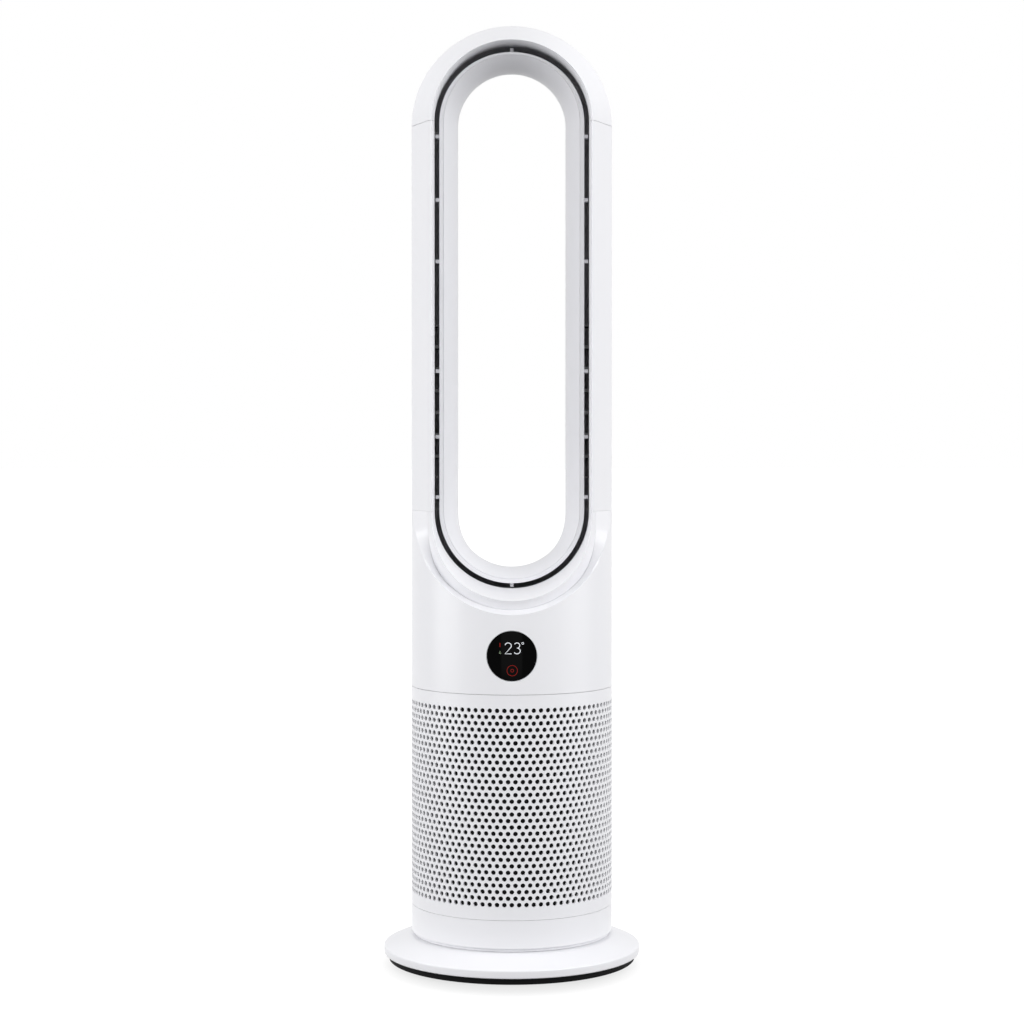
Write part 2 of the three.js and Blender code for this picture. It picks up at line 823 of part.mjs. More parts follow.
function carbonFelt(side) {
  const margin = 1 / carbonOuterRadius;
  return sector(
    carbonOuterRadius - carbonThickness,
    carbonOuterRadius,
    side + margin,
    side + Math.PI - margin,
    deckTopZ + seam,
    cageFlangeZ - seam,
    roundSteps / 2,
  );
}

// ---------------------------------------------------------------- fan unit

/** Inner radius of the casing round the impeller at a share of the impeller's length. */
function shroudAt(share) {
  return THREE.MathUtils.lerp(throatRadius, ductRadius, THREE.MathUtils.smoothstep(share, -0.2, 1));
}

function hubAt(share) {
  return THREE.MathUtils.lerp(impellerHubNose, impellerHubTop, Math.sqrt(Math.max(0, share)));
}

/** A thin blade that winds round the axis as it rises. */
function blade(bottom, top, wrap, innerAt, outerAt, steps = 4) {
  const rings = Array.from({ length: steps + 1 }, (_, i) => {
    const share = i / steps;
    const turn = wrap * share ** 0.8;
    const z = THREE.MathUtils.lerp(bottom, top, share);
    const corner = (radius, side) => {
      const half = (side * bladeThickness) / 2;
      const x = radius * Math.cos(turn) - half * Math.sin(turn);
      const y = radius * Math.sin(turn) + half * Math.cos(turn);
      return Object.assign(new THREE.Vector3(x, y, z), { flat: new THREE.Vector2(radius, half) });
    };
    const [inner, outer] = [innerAt(share), outerAt(share)];
    return [corner(inner, -1), corner(outer, -1), corner(outer, 1), corner(inner, 1)];
  });
  return loft(rings, false);
}

function ringOf(piece, count) {
  return Array.from({ length: count }, (_, i) => piece.rotate([0, 0, (360 * i) / count]));
}

function impellerCasing() {
  const shares = [0, 0.35, 0.7, 1];
  const along = (share) => [shroudAt(share), impellerBottomZ + share * impellerLength];
  return lathe(
    [
      [casingOuter, casingBottomZ],
      [casingOuter - casingWall + 1.2, casingBottomZ],
      [throatRadius + 3, casingBottomZ + 5],
      ...shares.map(along),
      [ductRadius, casingTopZ],
      [casingOuter, casingTopZ],
    ],
    innerSteps,
  );
}

/** Mixed-flow wheel: a growing hub with twisted blades. */
function impeller() {
  const shares = [0, 0.15, 0.45, 1];
  const hub = lathe(
    [
      [shaftRadius + seam, impellerBottomZ],
      ...shares.map((share) => [hubAt(share), impellerBottomZ + share * impellerLength]),
      [shaftRadius + seam, impellerTopZ],
    ],
    2 * bladeCount,
  );
  const vane = blade(
    impellerBottomZ + 1,
    impellerTopZ - 1,
    bladeWrap,
    (share) => hubAt(share) - 2,
    (share) => shroudAt(share) - bladeTipGap,
  );
  return join(hub, ...ringOf(vane, bladeCount));
}

function impellerShaft() {
  return rod(shaftRadius, impellerBottomZ + 2, shaftTopZ, 12);
}

function fanMotor() {
  const bottom = motorTopZ - motorLength;
  const bore = shaftRadius + runningGap;
  return lathe(
    [
      [bore, bottom],
      [motorRadius - 7, bottom],
      [motorRadius, bottom + 3],
      [motorRadius, motorTopZ - 3],
      [motorRadius - 7, motorTopZ],
      [bore, motorTopZ],
    ],
    smallSteps,
  );
}

function motorSleeve() {
  const inner = motorRadius + seam;
  const bottom = motorTopZ - motorLength + 4;
  return tube(inner, inner + sleeveThickness, bottom, motorTopZ - 4, smallSteps);
}

/** Motor pod, outer ring and the guide vanes between them, hung by a flange on the housing's deck. */
function diffuser() {
  const bottom = casingTopZ + seam;
  const flangeZ = housingDeckTopZ + seam;
  const pod = tube(podInner, podOuter, podBottomZ, diffuserTopZ, smallSteps);
  const ring = lathe(
    [
      [ductRadius, bottom],
      [casingOuter, bottom],
      [casingOuter, flangeZ],
      [diffuserFlangeRadius, flangeZ],
      [diffuserFlangeRadius, flangeZ + 2.5],
      [casingOuter, flangeZ + 2.5],
      [casingOuter, diffuserTopZ],
      [ductRadius, diffuserTopZ],
    ],
    innerSteps,
  );
  const vane = blade(
    bottom + 1,
    diffuserTopZ - 4,
    vaneWrap,
    () => podOuter - podWall / 2,
    () => ductRadius + 1.5,
    3,
  );
  return join(pod, ring, ...ringOf(vane, vaneCount));
}

function podCap() {
  const bottom = diffuserTopZ + seam;
  const dome = (radius, length) => [
    [radius, bottom],
    [0.78 * radius, bottom + 0.45 * length],
    [0.42 * radius, bottom + 0.8 * length],
    [0, bottom + length],
  ];
  const inside = dome(podInner, podCapLength - podWall - 0.5).reverse();
  return lathe([...dome(podOuter, podCapLength), ...inside], smallSteps);
}

function plenumFunnel() {
  const bottom = diffuserTopZ + seam;
  return lathe(
    [
      [ductRadius, bottom],
      [casingOuter, bottom],
      [funnelRadius + funnelWall, bottom + funnelLength],
      [funnelRadius, bottom + funnelLength],
    ],
    innerSteps,
  );
}

// ---------------------------------------------------------------- upper housing and display

/** What lies in front of the housing's facets, once these are moved back by a wall. */
function aheadSection(station, wall) {
  const line = [foldLine(station), edgeLine(station), outerLine(station)];
  const moved = thicken(line, wall).slice(line.length).reverse();
  const inward = moved[0][0] - 2 * columnWall;
  const last = onward(moved.at(-2), moved.at(-1), 3 * columnWall);
  const beyond = 1.3 * columnRadius;
  return [[inward, moved[0][1]], ...moved, last, [last[0], beyond], [inward, beyond]];
}

/** A round body whose top is cut to the loop's facets, front and back. */
function facetedBody(radius, bottom, wall) {
  const ahead = (station) => aheadSection(station, wall);
  const aback = (station) => ahead(station).map(behind);
  return rod(radius, bottom, loopBottomCentreZ, roundSteps)
    .subtract(sweep(bottomArc, ahead))
    .subtract(sweep(bottomArc, aback));
}

/** Column wall with a deck for the fan unit, a saddle-shaped top with faceted edges, and the
 * display's opening. */
function upperHousing() {
  const saddle = [
    ...bottomArc.map((station) => polar(foldLine(station)[0], station.angle)),
    new THREE.Vector2(foldRadius, 10),
    new THREE.Vector2(-foldRadius, 10),
  ];
  const opening = plate(saddle, -1.3 * columnRadius, 1.3 * columnRadius)
    .rotate([90, 0, 0])
    .translate(0, 0, loopBottomCentreZ);
  const windowRadius = lensRadius + bezelWidth + 2 * seam;
  const back = displayBossDepth - innerRadius;
  const boss = barY(windowRadius + displayBossWall, -innerRadius - 0.5, back, displayZ, innerSteps);
  const window = barY(windowRadius, -columnRadius - 5, back + 1, displayZ, innerSteps);
  return facetedBody(columnRadius, housingBottomZ, 0)
    .subtract(facetedBody(innerRadius, housingDeckTopZ, columnWall))
    .subtract(rod(cageInner, housingBottomZ - 1, housingDeckTopZ + 1, innerSteps))
    .add(boss)
    .subtract(opening)
    .subtract(window);
}

/** A round piece let into the column's front, following its curve. */
function frontInsert(inner, outer, depth) {
  const bar = barY(outer, -columnRadius - 5, -columnRadius / 2, displayZ, innerSteps);
  const skin = tube(columnRadius - depth, columnRadius, displayZ - 40, displayZ + 40);
  const piece = bar.intersect(skin);
  if (!inner) return piece;
  return piece.subtract(barY(inner, -columnRadius - 6, -columnRadius / 2 + 1, displayZ, innerSteps));
}

function displayLens() {
  return frontInsert(0, lensRadius, lensThickness);
}

function displayBezel() {
  return frontInsert(lensRadius + seam, lensRadius + seam + bezelWidth, bezelDepth);
}

function displayBoard() {
  const front = displayBossDepth - innerRadius - 4;
  const card = barY(lensRadius + bezelWidth + seam, front, front + boardThickness, displayZ, innerSteps);
  const module = block(
    [-displayModuleWidth / 2, displayModuleWidth / 2],
    [front - displayModuleDepth, front + 0.5],
    [displayZ - displayModuleHeight / 2, displayZ + displayModuleHeight / 2],
  );
  return join(card, module);
}

// ---------------------------------------------------------------- loop

function throatRing() {
  return sweep(wholeLoop, throatSection, true);
}

function heightOnArms(share) {
  return THREE.MathUtils.lerp(loopBottomCentreZ, loopTopCentreZ, share);
}

/** Inner lip of the slot, with the ribs that hold the slot's width. */
function slotRim() {
  const back = rimDepth - spacerDepth;
  const rib = (angle, z) => {
    const radius = rimLine({ angle });
    const bar = block(
      [radius - 1, slotRadius - seam],
      [-rimDepth + spacerRecess, -back],
      [-spacerWidth / 2, spacerWidth / 2],
    );
    return bar.rotate([0, -THREE.MathUtils.radToDeg(angle), 0]).translate(0, 0, z);
  };
  const ribs = [
    rib(Math.PI / 2, loopTopCentreZ),
    rib(-Math.PI / 2, loopBottomCentreZ),
    ...spacerPlaces.map(heightOnArms).flatMap((z) => [rib(0, z), rib(Math.PI, z)]),
  ];
  return join(sweep(wholeLoop, rimSection, true), ...ribs);
}

/** Finned heating block with a bracket that meets the throat ring. */
function heater(side) {
  const top = heaterZ + heaterHeight / 2;
  const bottom = heaterZ - heaterHeight / 2;
  const outer = heaterInnerRadius + heaterWidth;
  const front = throatDepth + 10;
  const back = front - heaterDepth;
  const body = block([heaterInnerRadius, outer], [-front, -back], [bottom, top]);
  const pitch = heaterHeight / heaterFins;
  const slots = Array.from({ length: heaterFins }, (_, i) =>
    block(
      [heaterInnerRadius + 4, outer + 1],
      [-front - 1, -back + 1],
      [bottom + i * pitch + heaterFinThickness, bottom + (i + 1) * pitch - heaterFinThickness],
    ),
  );
  const bracket = block(
    [throatInnerRadius + throatWall + 3 * seam, heaterInnerRadius + 1],
    [-throatDepth - 3, -throatDepth + 3],
    [heaterZ - 20, heaterZ + 20],
  );
  const made = join(body.subtract(wasm.Manifold.union(slots)), bracket);
  return side < 0 ? made.rotate([0, 0, 180]).mirror([0, 1, 0]) : made;
}

// ---------------------------------------------------------------- assembly

const finishes = {
  whitePlastic: { color: 0xf0f1f3, roughness: 0.38, metalness: 0 },
  rubber: { color: 0x17181a, roughness: 0.85, metalness: 0 },
  steel: { color: 0x9a9da1, roughness: 0.4, metalness: 0.9 },
  aluminium: { color: 0xb9bcc0, roughness: 0.45, metalness: 0.85 },
  acetal: { color: 0xe6e4dc, roughness: 0.5, metalness: 0 },
  darkPlastic: { color: 0x2b2d30, roughness: 0.55, metalness: 0 },
  board: { color: 0x1f4a33, roughness: 0.6, metalness: 0 },
  felt: { color: 0x1b1b1c, roughness: 0.95, metalness: 0 },
  paper: { color: 0xd9d8d2, roughness: 0.9, metalness: 0 },
  blackGlass: { color: 0x050506, roughness: 0.08, metalness: 0 },
};

const fan = new THREE.Group();

/** Adds a solid to the fan as a named mesh. */
function add(name, made, finish) {
  const mesh = made.getMesh();
  const geometry = new THREE.BufferGeometry();
  geometry.setAttribute("position", new THREE.BufferAttribute(mesh.vertProperties, 3));
  geometry.setIndex(new THREE.BufferAttribute(mesh.triVerts, 1));
  geometry.computeVertexNormals();
  const piece = new THREE.Mesh(geometry, new THREE.MeshStandardMaterial(finishes[finish]));
  piece.name = name;
  fan.add(piece);
}

add("foot_ring", footRing(), "rubber");
add("bottom_cover", bottomCover(), "darkPlastic");
add("ballast_plate", ballastPlate(), "steel");
add("base_disc", baseDisc(), "whitePlastic");
add("pivot_spindle", pivotSpindle(), "steel");
add("spindle_cap", spindleCap(), "steel");
add("glide_ring", glideRing(), "acetal");
add("sector_gear", sectorGear(), "acetal");

add("column_bottom_ring", bottomRing(), "whitePlastic");
add("power_inlet", powerInlet(), "darkPlastic");
add("stepper_motor", stepperMotor(), "steel");
add("drive_pinion", drivePinion(), "acetal");
add("control_board", controlBoard(), "board");

add("chassis_cage", chassisCage(), "darkPlastic");
add("front_grille", grille(Math.PI), "whitePlastic");
add("rear_grille", grille(0), "whitePlastic");
add("front_filter", pleatedFilter(Math.PI), "paper");
add("rear_filter", pleatedFilter(0), "paper");
add("front_carbon_felt", carbonFelt(Math.PI), "felt");
add("rear_carbon_felt", carbonFelt(0), "felt");

add("impeller_casing", impellerCasing(), "darkPlastic");
add("impeller", impeller(), "darkPlastic");
add("impeller_shaft", impellerShaft(), "steel");
add("fan_motor", fanMotor(), "aluminium");
add("motor_sleeve", motorSleeve(), "rubber");
add("diffuser", diffuser(), "darkPlastic");
add("pod_cap", podCap(), "darkPlastic");
add("plenum_funnel", plenumFunnel(), "darkPlastic");

add("upper_housing", upperHousing(), "whitePlastic");
add("display_lens", displayLens(), "blackGlass");
add("display_bezel", displayBezel(), "aluminium");
add("display_board", displayBoard(), "board");

add("front_shell_top", sweep(topArc, frontShellSection), "whitePlastic");
add("front_shell_right", sweep(arm(0), frontShellSection), "whitePlastic");
add("front_shell_left", sweep(arm(Math.PI), frontShellSection), "whitePlastic");
add("lower_bezel", sweep(bottomArc, lowerBezelSection), "whitePlastic");
add("rear_shell_top", sweep(topArc, rearShellSection), "whitePlastic");
add("rear_shell_right", sweep(arm(0), rearShellSection), "whitePlastic");
add("rear_shell_left", sweep(arm(Math.PI), rearShellSection), "whitePlastic");
add("rear_lower_shell", sweep(bottomArc, rearLowerSection), "whitePlastic");
add("throat_ring", throatRing(), "whitePlastic");
add("slot_rim", slotRim(), "whitePlastic");
add("heater_right", heater(1), "aluminium");
add("heater_left", heater(-1), "aluminium");

export default fan;
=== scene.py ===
"""Bladeless tower fan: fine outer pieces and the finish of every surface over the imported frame.

Metres, +Z up, the air leaves towards -Y. A section of the air loop is drawn as (r, d) points:
r is the distance from the axis of the loop's arc and d the depth towards the front.
"""

import json
import math

import bmesh
import bpy
from bpy.props import FloatProperty, FloatVectorProperty, IntProperty, PointerProperty
from mathutils import Matrix, Vector


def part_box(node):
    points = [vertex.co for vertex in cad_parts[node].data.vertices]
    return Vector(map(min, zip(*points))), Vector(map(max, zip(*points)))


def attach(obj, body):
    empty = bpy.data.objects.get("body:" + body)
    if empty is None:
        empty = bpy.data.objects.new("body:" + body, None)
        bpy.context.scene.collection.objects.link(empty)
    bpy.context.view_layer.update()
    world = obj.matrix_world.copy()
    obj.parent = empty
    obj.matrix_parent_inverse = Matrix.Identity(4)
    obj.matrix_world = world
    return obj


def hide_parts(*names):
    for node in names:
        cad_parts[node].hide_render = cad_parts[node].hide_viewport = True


bl_info = {
    "name": "Bladeless Tower Fan",
    "version": (1, 0, 0),
    "blender": (4, 5, 0),
    "location": "3D View > Sidebar > Tower Fan",
    "description": "Builds a tower fan's shells, intake skin, display and air loop over its frame",
    "category": "Add Mesh",
}

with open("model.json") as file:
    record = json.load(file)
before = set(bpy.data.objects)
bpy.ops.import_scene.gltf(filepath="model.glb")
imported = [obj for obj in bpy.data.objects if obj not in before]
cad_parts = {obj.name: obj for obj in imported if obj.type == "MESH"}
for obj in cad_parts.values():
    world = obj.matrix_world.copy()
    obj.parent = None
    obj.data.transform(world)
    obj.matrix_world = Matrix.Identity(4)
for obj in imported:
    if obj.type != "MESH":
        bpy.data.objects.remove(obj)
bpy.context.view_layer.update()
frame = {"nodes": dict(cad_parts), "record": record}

SEAM = 0.0003  # gap between two seated mouldings
SHARP = math.radians(24)  # faces that turn more than this meet in an edge
CURVED_SHARP = math.radians(35)  # the same where the section itself is curved
LENS_SHARP = math.radians(50)  # the same on the display, which is bent over the column
LEVEL = 0.00005  # how near a height an edge has to lie
WELD = 0.00002  # corners nearer than this are one
UPRIGHT = Matrix.Rotation(math.pi / 2, 3, "X")


def lowest(node):
    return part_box(node)[0]


def highest(node):
    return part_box(node)[1]


# Sizes and colours


def position(name, description, default, **limits):
    """A length that a user can change and that may lie on either side of zero."""
    settings = {"name": name, "description": description, "default": default, **limits}
    return FloatProperty(**settings, precision=5, unit="LENGTH")


def size(name, description, default):
    """A length that a user can change."""
    return position(name, description, default, min=0.0)


def count(name, description, default):
    return IntProperty(name=name, description=description, default=default, min=1, max=400)


def tint(name, description, default):
    settings = {"name": name, "description": description, "default": default}
    return FloatVectorProperty(**settings, min=0.0, max=1.0, size=3, subtype="COLOR")


class FanBaseSizes(bpy.types.PropertyGroup):
    """The rubber foot and the base disc."""

    foot_radius: size("Foot radius", "Outer radius of the rubber foot", highest("foot_ring").x)
    foot_width: size("Foot width", "Width of the rubber foot", 0.014)
    foot_height: size("Foot height", "Height of the rubber foot", highest("foot_ring").z)
    foot_round: size("Foot rounding", "Rounding of the foot's edges", 0.0007)
    disc_radius: size("Disc radius", "Outer radius of the base disc", highest("base_disc").x)
    disc_wall: size("Disc wall", "Wall of the base disc", 0.0028)
    rim_height: size("Rim height", "Height of the disc's upright rim", 0.0076)
    rise_radius: size("Rise radius", "Radius at which the disc's slope ends", 0.097)
    disc_top: size("Disc top", "Height of the disc's middle", highest("base_disc").z)
    disc_round: size("Disc rounding", "Rounding of the disc's edges", 0.0011)
    rim_roof: size("Rim roof", "Wall over the hollow at the rim", 0.0018)
    slope_offset: size("Slope offset", "How much nearer the slope's inside ends", 0.001)
    crown: size("Crown", "How much the slope bulges", 0.0004)
    well_radius: size("Well radius", "Radius of the gear's well", 0.0608)
    well_floor: size("Well floor", "Top of the gear's well", lowest("pivot_spindle").z - SEAM)
    bore: size("Bore", "Radius of the middle bore", 0.011)


class FanColumnSizes(bpy.types.PropertyGroup):
    """The turning column's ring and upper housing."""

    radius: size("Radius", "Outer radius of the column", highest("rear_grille").y)
    wall: size("Wall", "Wall of the column's mouldings", 0.003)
    neck_radius: size("Neck radius", "Radius of the gap above the base", 0.0953)
    neck_bottom: size("Neck bottom", "Lowest point of the neck", lowest("column_bottom_ring").z)
    ring_bottom: size("Ring bottom", "Underside of the ring", 0.028)
    ring_top: size("Ring top", "Top of the ring", lowest("rear_grille").z - SEAM)
    spindle_bore: size("Spindle bore", "Radius of the ring's bore", 0.0175)
    ledge: size("Ledge", "Width of the ledge under the grilles", 0.008)
    ledge_drop: size("Ledge drop", "Depth of the ledge below the ring's top", 0.0022)
    ring_round: size("Ring rounding", "Rounding of the ring's lower edge", 0.0012)
    seam_round: size("Seam rounding", "Rounding where two mouldings meet", 0.00022)
    housing_bottom: size("Housing bottom", "Its lower edge", lowest("upper_housing").z)


class FanIntakeSizes(bpy.types.PropertyGroup):
    """The perforated intake skins, and the filters behind them."""

    hole: size("Hole", "Diameter of a hole", 0.0045)
    rows: count("Rows", "Rows of holes", 31)
    columns: count("Columns", "Holes round one half", 44)
    first_row: size("First row", "Height of the lowest row", 0.0698)
    last_row: size("Last row", "Height of the highest row", 0.2525)
    skin: size("Skin", "Thickness of the perforated skin", 0.0018)
    bottom: size("Bottom", "Lower edge of the skins", lowest("rear_grille").z)
    top: size("Top", "Upper edge of the skins", highest("rear_grille").z)
    felt_radius: size("Felt radius", "Outer radius of the felt", highest("rear_carbon_felt").y)
    felt: size("Felt", "Thickness of the carbon felt", 0.004)
    filter_bottom: size("Filter bottom", "Lower edge of the filters", lowest("rear_filter").z)
    filter_top: size("Filter top", "Upper edge of the filters", highest("rear_filter").z)
    pleats: count("Pleats", "Pleats in one filter", 44)
    pleat: size("Pleat", "Depth of a pleat", 0.020)
    paper: size("Paper", "Thickness of the filter paper", 0.0005)
    felt_round: size("Felt rounding", "Rounding of the felt's edges", 0.0006)
    felt_margin: size("Felt margin", "From the felt's ends to the column's middle plane", 0.001)
    paper_margin: size("Paper margin", "From the paper's ends to that plane", 0.002)
    paper_gap: size("Paper gap", "Between the felt and the paper", 0.0009)


class FanDisplaySizes(bpy.types.PropertyGroup):
    """The round display on the column's front."""

    height: size("Height", "Height of the display's middle", 0.304)
    lens_radius: size("Lens radius", "Radius of the black lens", 0.0234)
    lens: size("Lens", "Thickness of the lens", 0.002)
    bezel: size("Bezel", "Width of the bright edge", 0.0006)
    bezel_depth: size("Bezel depth", "Depth of the bright edge", 0.004)
    digit_height: size("Digit height", "Height of the digits", 0.0103)
    digit_width: size("Digit width", "Width of one digit", 0.0062)
    digit_pitch: size("Digit pitch", "From one digit to the next", 0.0086)
    digit_left: position("Digit place", "Left end of the digits", -0.0065)
    digit_bottom: size("Digit bottom", "Foot of the digits over the lens's middle", 0.0022)
    stroke: size("Stroke", "Width of the digits' strokes", 0.0008)
    ring_height: position("Ring place", "Middle of the power ring over the lens's middle", -0.0136)
    ring_aside: size("Ring offset", "The ring's place to the right of the middle", 0.0004)
    ring_radius: size("Ring radius", "Radius of the power ring", 0.0049)
    ring_core: size("Ring core", "Radius of its middle", 0.0014)
    degree_radius: size("Degree radius", "Radius of the degree sign", 0.0009)
    mark_gap: size("Mark gap", "From the small marks to the digits", 0.0046)
    ink: size("Ink", "Thickness of the lit signs", 0.00012)
    edge_round: size("Edge rounding", "Rounding of the lens and its edge", 0.0003)


class FanLoopSizes(bpy.types.PropertyGroup):
    """The stadium-shaped air loop, by the lines that run round it."""

    outer_radius: size("Outer radius", "Outer radius of the arcs", highest("front_shell_top").x)
    top_centre: size("Top centre", "Axis of the upper arc", 0.814)
    bottom_centre: size("Bottom centre", "Axis of the lower arc", 0.4384)
    wall: size("Wall", "Wall of the shells", 0.0022)
    slot_radius: size("Slot radius", "Outer edge of the air slot", 0.0744)
    slot_depth: size("Slot depth", "How far forward the slot's outer edge stands", 0.038)
    slot_wall: size("Slot wall", "Depth of the slot's outer wall", 0.026)
    crest_radius: size("Crest radius", "Front-most edge of the arms", 0.0771)
    crest_depth: size("Crest depth", "Depth of the crest", 0.045)
    fold_radius: size("Fold radius", "Line between the bezel and the side facet", 0.081)
    fold_depth: size("Fold depth", "Depth of the fold", 0.040)
    edge_radius: size("Edge radius", "Inner line of the bevel at the outer edge", 0.0953)
    edge_depth: size("Edge depth", "Depth of that line", 0.008)
    low_crest_radius: size("Low crest radius", "The crest at the bottom of the loop", 0.0831)
    low_crest_plan: size("Low crest plan", "Its distance from the column's axis", 0.0915)
    low_fold_radius: size("Low fold radius", "The fold at the bottom of the loop", 0.0917)
    low_fold_plan: size("Low fold plan", "Its distance from the column's axis", 0.088)
    low_outer_radius: size("Low outer radius", "The housing's edge at the bottom", 0.0958)
    bezel_return: size("Bezel return", "Depth of the lower bezel's outer wall", 0.012)
    rim_radius: size("Rim radius", "Inner edge of the air slot", 0.0702)
    rim_inset: size("Rim inset", "How much narrower the rim is at the top", 0.0018)
    rim_depth: size("Rim depth", "How far forward the rim stands", 0.026)
    rim_skirt: size("Rim skirt", "Depth of the rim's outer wall", 0.018)
    rim_wall: size("Rim wall", "Thickness of the rim", 0.0022)
    throat_radius: size("Throat radius", "Narrowest radius of the opening", 0.0527)
    low_throat_radius: size("Low throat radius", "The same at the bottom", 0.0557)
    throat_back: size("Throat depth", "How far back the throat stands", 0.008)
    throat_front: size("Throat front", "Radius where the throat meets the rim", 0.0657)
    throat_wall: size("Throat wall", "Wall of the throat", 0.0023)
    throat_return: size("Throat return", "Width of the throat's rear lip", 0.0025)
    rear_lip_radius: size("Rear lip radius", "Inner edge of the rear shells", 0.073)
    rear_lip_depth: size("Rear lip depth", "How far back it stands", 0.046)
    edge_round: size("Edge rounding", "Rounding of the loop's long edges", 0.0008)
    seam_round: size("Seam rounding", "Rounding where two shells meet", 0.00022)
    spacer: size("Spacer", "Width of a slot spacer", 0.0035)
    spacer_depth: size("Spacer depth", "How far back a slot spacer reaches", 0.015)
    spacer_recess: size("Spacer recess", "How far it stands behind the rim's front", 0.005)
    spacer_root: size("Spacer root", "How deep a slot spacer stands in the rim", 0.001)
    spacer_round: size("Spacer rounding", "Rounding of a slot spacer's edges", 0.0004)
    wall_round: size("Wall rounding", "Rounding of the throat's edges", 0.0004)
    rim_round: size("Rim rounding", "Rounding of the rim's edges", 0.0005)
    steps: count("Steps", "Stations along a quarter turn", 56)


class FanColours(bpy.types.PropertyGroup):
    """Colours of the fan's finishes."""

    shell: tint("Shell", "White moulded plastic", (0.80, 0.80, 0.825))
    shell_tint: tint("Shell tint", "Its slow drift of tone", (0.775, 0.778, 0.81))
    foot: tint("Foot", "Black rubber", (0.0028, 0.0028, 0.0031))
    glass: tint("Glass", "Black display lens", (0.0006, 0.0006, 0.0007))
    bezel: tint("Bezel", "Bright metal edge", (0.62, 0.63, 0.65))
    digits: tint("Digits", "Lit digits", (0.92, 0.95, 1.0))
    warm: tint("Warm sign", "Lit red sign", (0.85, 0.045, 0.03))
    fresh: tint("Fresh sign", "Lit green sign", (0.65, 0.85, 0.55))
    dark: tint("Dark plastic", "Inner mouldings", (0.028, 0.028, 0.031))
    steel: tint("Steel", "Machined steel", (0.42, 0.43, 0.45))
    aluminium: tint("Aluminium", "Cast and folded aluminium", (0.60, 0.61, 0.63))
    acetal: tint("Acetal", "Low-friction plastic", (0.76, 0.75, 0.70))
    board: tint("Board", "Circuit board", (0.03, 0.15, 0.07))
    paper: tint("Paper", "Filter paper", (0.78, 0.77, 0.73))
    felt: tint("Felt", "Carbon felt", (0.004, 0.004, 0.0045))


class FanStageSettings(bpy.types.PropertyGroup):
    """Camera, floor and lamps."""

    camera_distance: size("Camera distance", "From the column's axis", 2.2187)
    camera_height: size("Camera height", "Above the floor", 0.4959)
    camera_aside: size("Camera offset", "To the right of the column's axis", 0.0002)
    pitch: FloatProperty(
        name="Pitch",
        description="How far the camera looks down",
        default=math.radians(0.622),
        unit="ROTATION",
    )
    lens: FloatProperty(name="Lens", description="Focal length in millimetres", default=79.56)
    sensor: FloatProperty(name="Sensor", description="Sensor width in millimetres", default=36.0)
    shift: FloatProperty(name="Shift", description="Upward shift of the lens", default=-0.035)
    lamps: FloatProperty(name="Lamps", description="Power over the lamps' set level", default=1.0)
    aim_height: size("Aim height", "Point on the axis that the lamps face", 0.45)
    sky: FloatProperty(name="Sky", description="Level of the light from all round", default=0.574)


class TowerFan(bpy.types.PropertyGroup):
    """All settings of the fan."""

    base: PointerProperty(type=FanBaseSizes)
    column: PointerProperty(type=FanColumnSizes)
    intake: PointerProperty(type=FanIntakeSizes)
    display: PointerProperty(type=FanDisplaySizes)
    loop: PointerProperty(type=FanLoopSizes)
    colours: PointerProperty(type=FanColours)
    stage: PointerProperty(type=FanStageSettings)


# Finishes


def node(tree, kind, inputs=None, **settings):
    """Adds a shader node, with its settings and its inputs as values or as sockets to link from."""
    made = tree.nodes.new(kind)
    for name, value in settings.items():
        setattr(made, name, value)
    for name, value in (inputs or {}).items():
        if isinstance(value, bpy.types.NodeSocket):
            tree.links.new(value, made.inputs[name])
        else:
            made.inputs[name].default_value = value
    return made


def maths(tree, operation, *values):
    """The result of a sum on numbers and sockets."""
    return node(tree, "ShaderNodeMath", dict(enumerate(values)), operation=operation).outputs[0]


def surface_group(name, scale, roughness, spread, pattern):
    """A node group whose pattern gives a slow mask and a fine height over the surface."""
    group = bpy.data.node_groups.new(name, "ShaderNodeTree")
    inputs = (
        ("Colour", "NodeSocketColor", (0.8, 0.8, 0.8, 1.0)),
        ("Tint", "NodeSocketColor", (0.7, 0.7, 0.7, 1.0)),
        ("Scale", "NodeSocketFloat", scale),
        ("Roughness", "NodeSocketFloat", roughness),
        ("Spread", "NodeSocketFloat", spread),
    )
    for label, kind, default in inputs:
        socket = group.interface.new_socket(label, in_out="INPUT", socket_type=kind)
        socket.default_value = default
    for label, kind in (("Colour", "Color"), ("Roughness", "Float"), ("Height", "Float")):
        group.interface.new_socket(label, in_out="OUTPUT", socket_type=f"NodeSocket{kind}")
    given = group.nodes.new("NodeGroupInput").outputs
    result = group.nodes.new("NodeGroupOutput").inputs
    place = node(group, "ShaderNodeTexCoord").outputs["Object"]
    mask, height = pattern(group, place, given["Scale"])
    mixed = node(
        group, "ShaderNodeMix", {0: mask, 6: given["Colour"], 7: given["Tint"]}, data_type="RGBA"
    )
    centred = maths(group, "SUBTRACT", mask, 0.5)
    rough = maths(group, "MULTIPLY_ADD", centred, given["Spread"], given["Roughness"])
    group.links.new(mixed.outputs[2], result["Colour"])
    group.links.new(rough, result["Roughness"])
    group.links.new(height, result["Height"])
    return group


def noise(group, place, scale, detail, **more):
    inputs = {"Vector": place, "Scale": scale, "Detail": detail, **more}
    return node(group, "ShaderNodeTexNoise", inputs).outputs[0]


def moulded_pattern(group, place, scale):
    """Slow flow of the resin and the fine grain of the mould."""
    return noise(group, place, 9.0, 3.0), noise(group, place, scale, 2.0, Roughness=0.6)


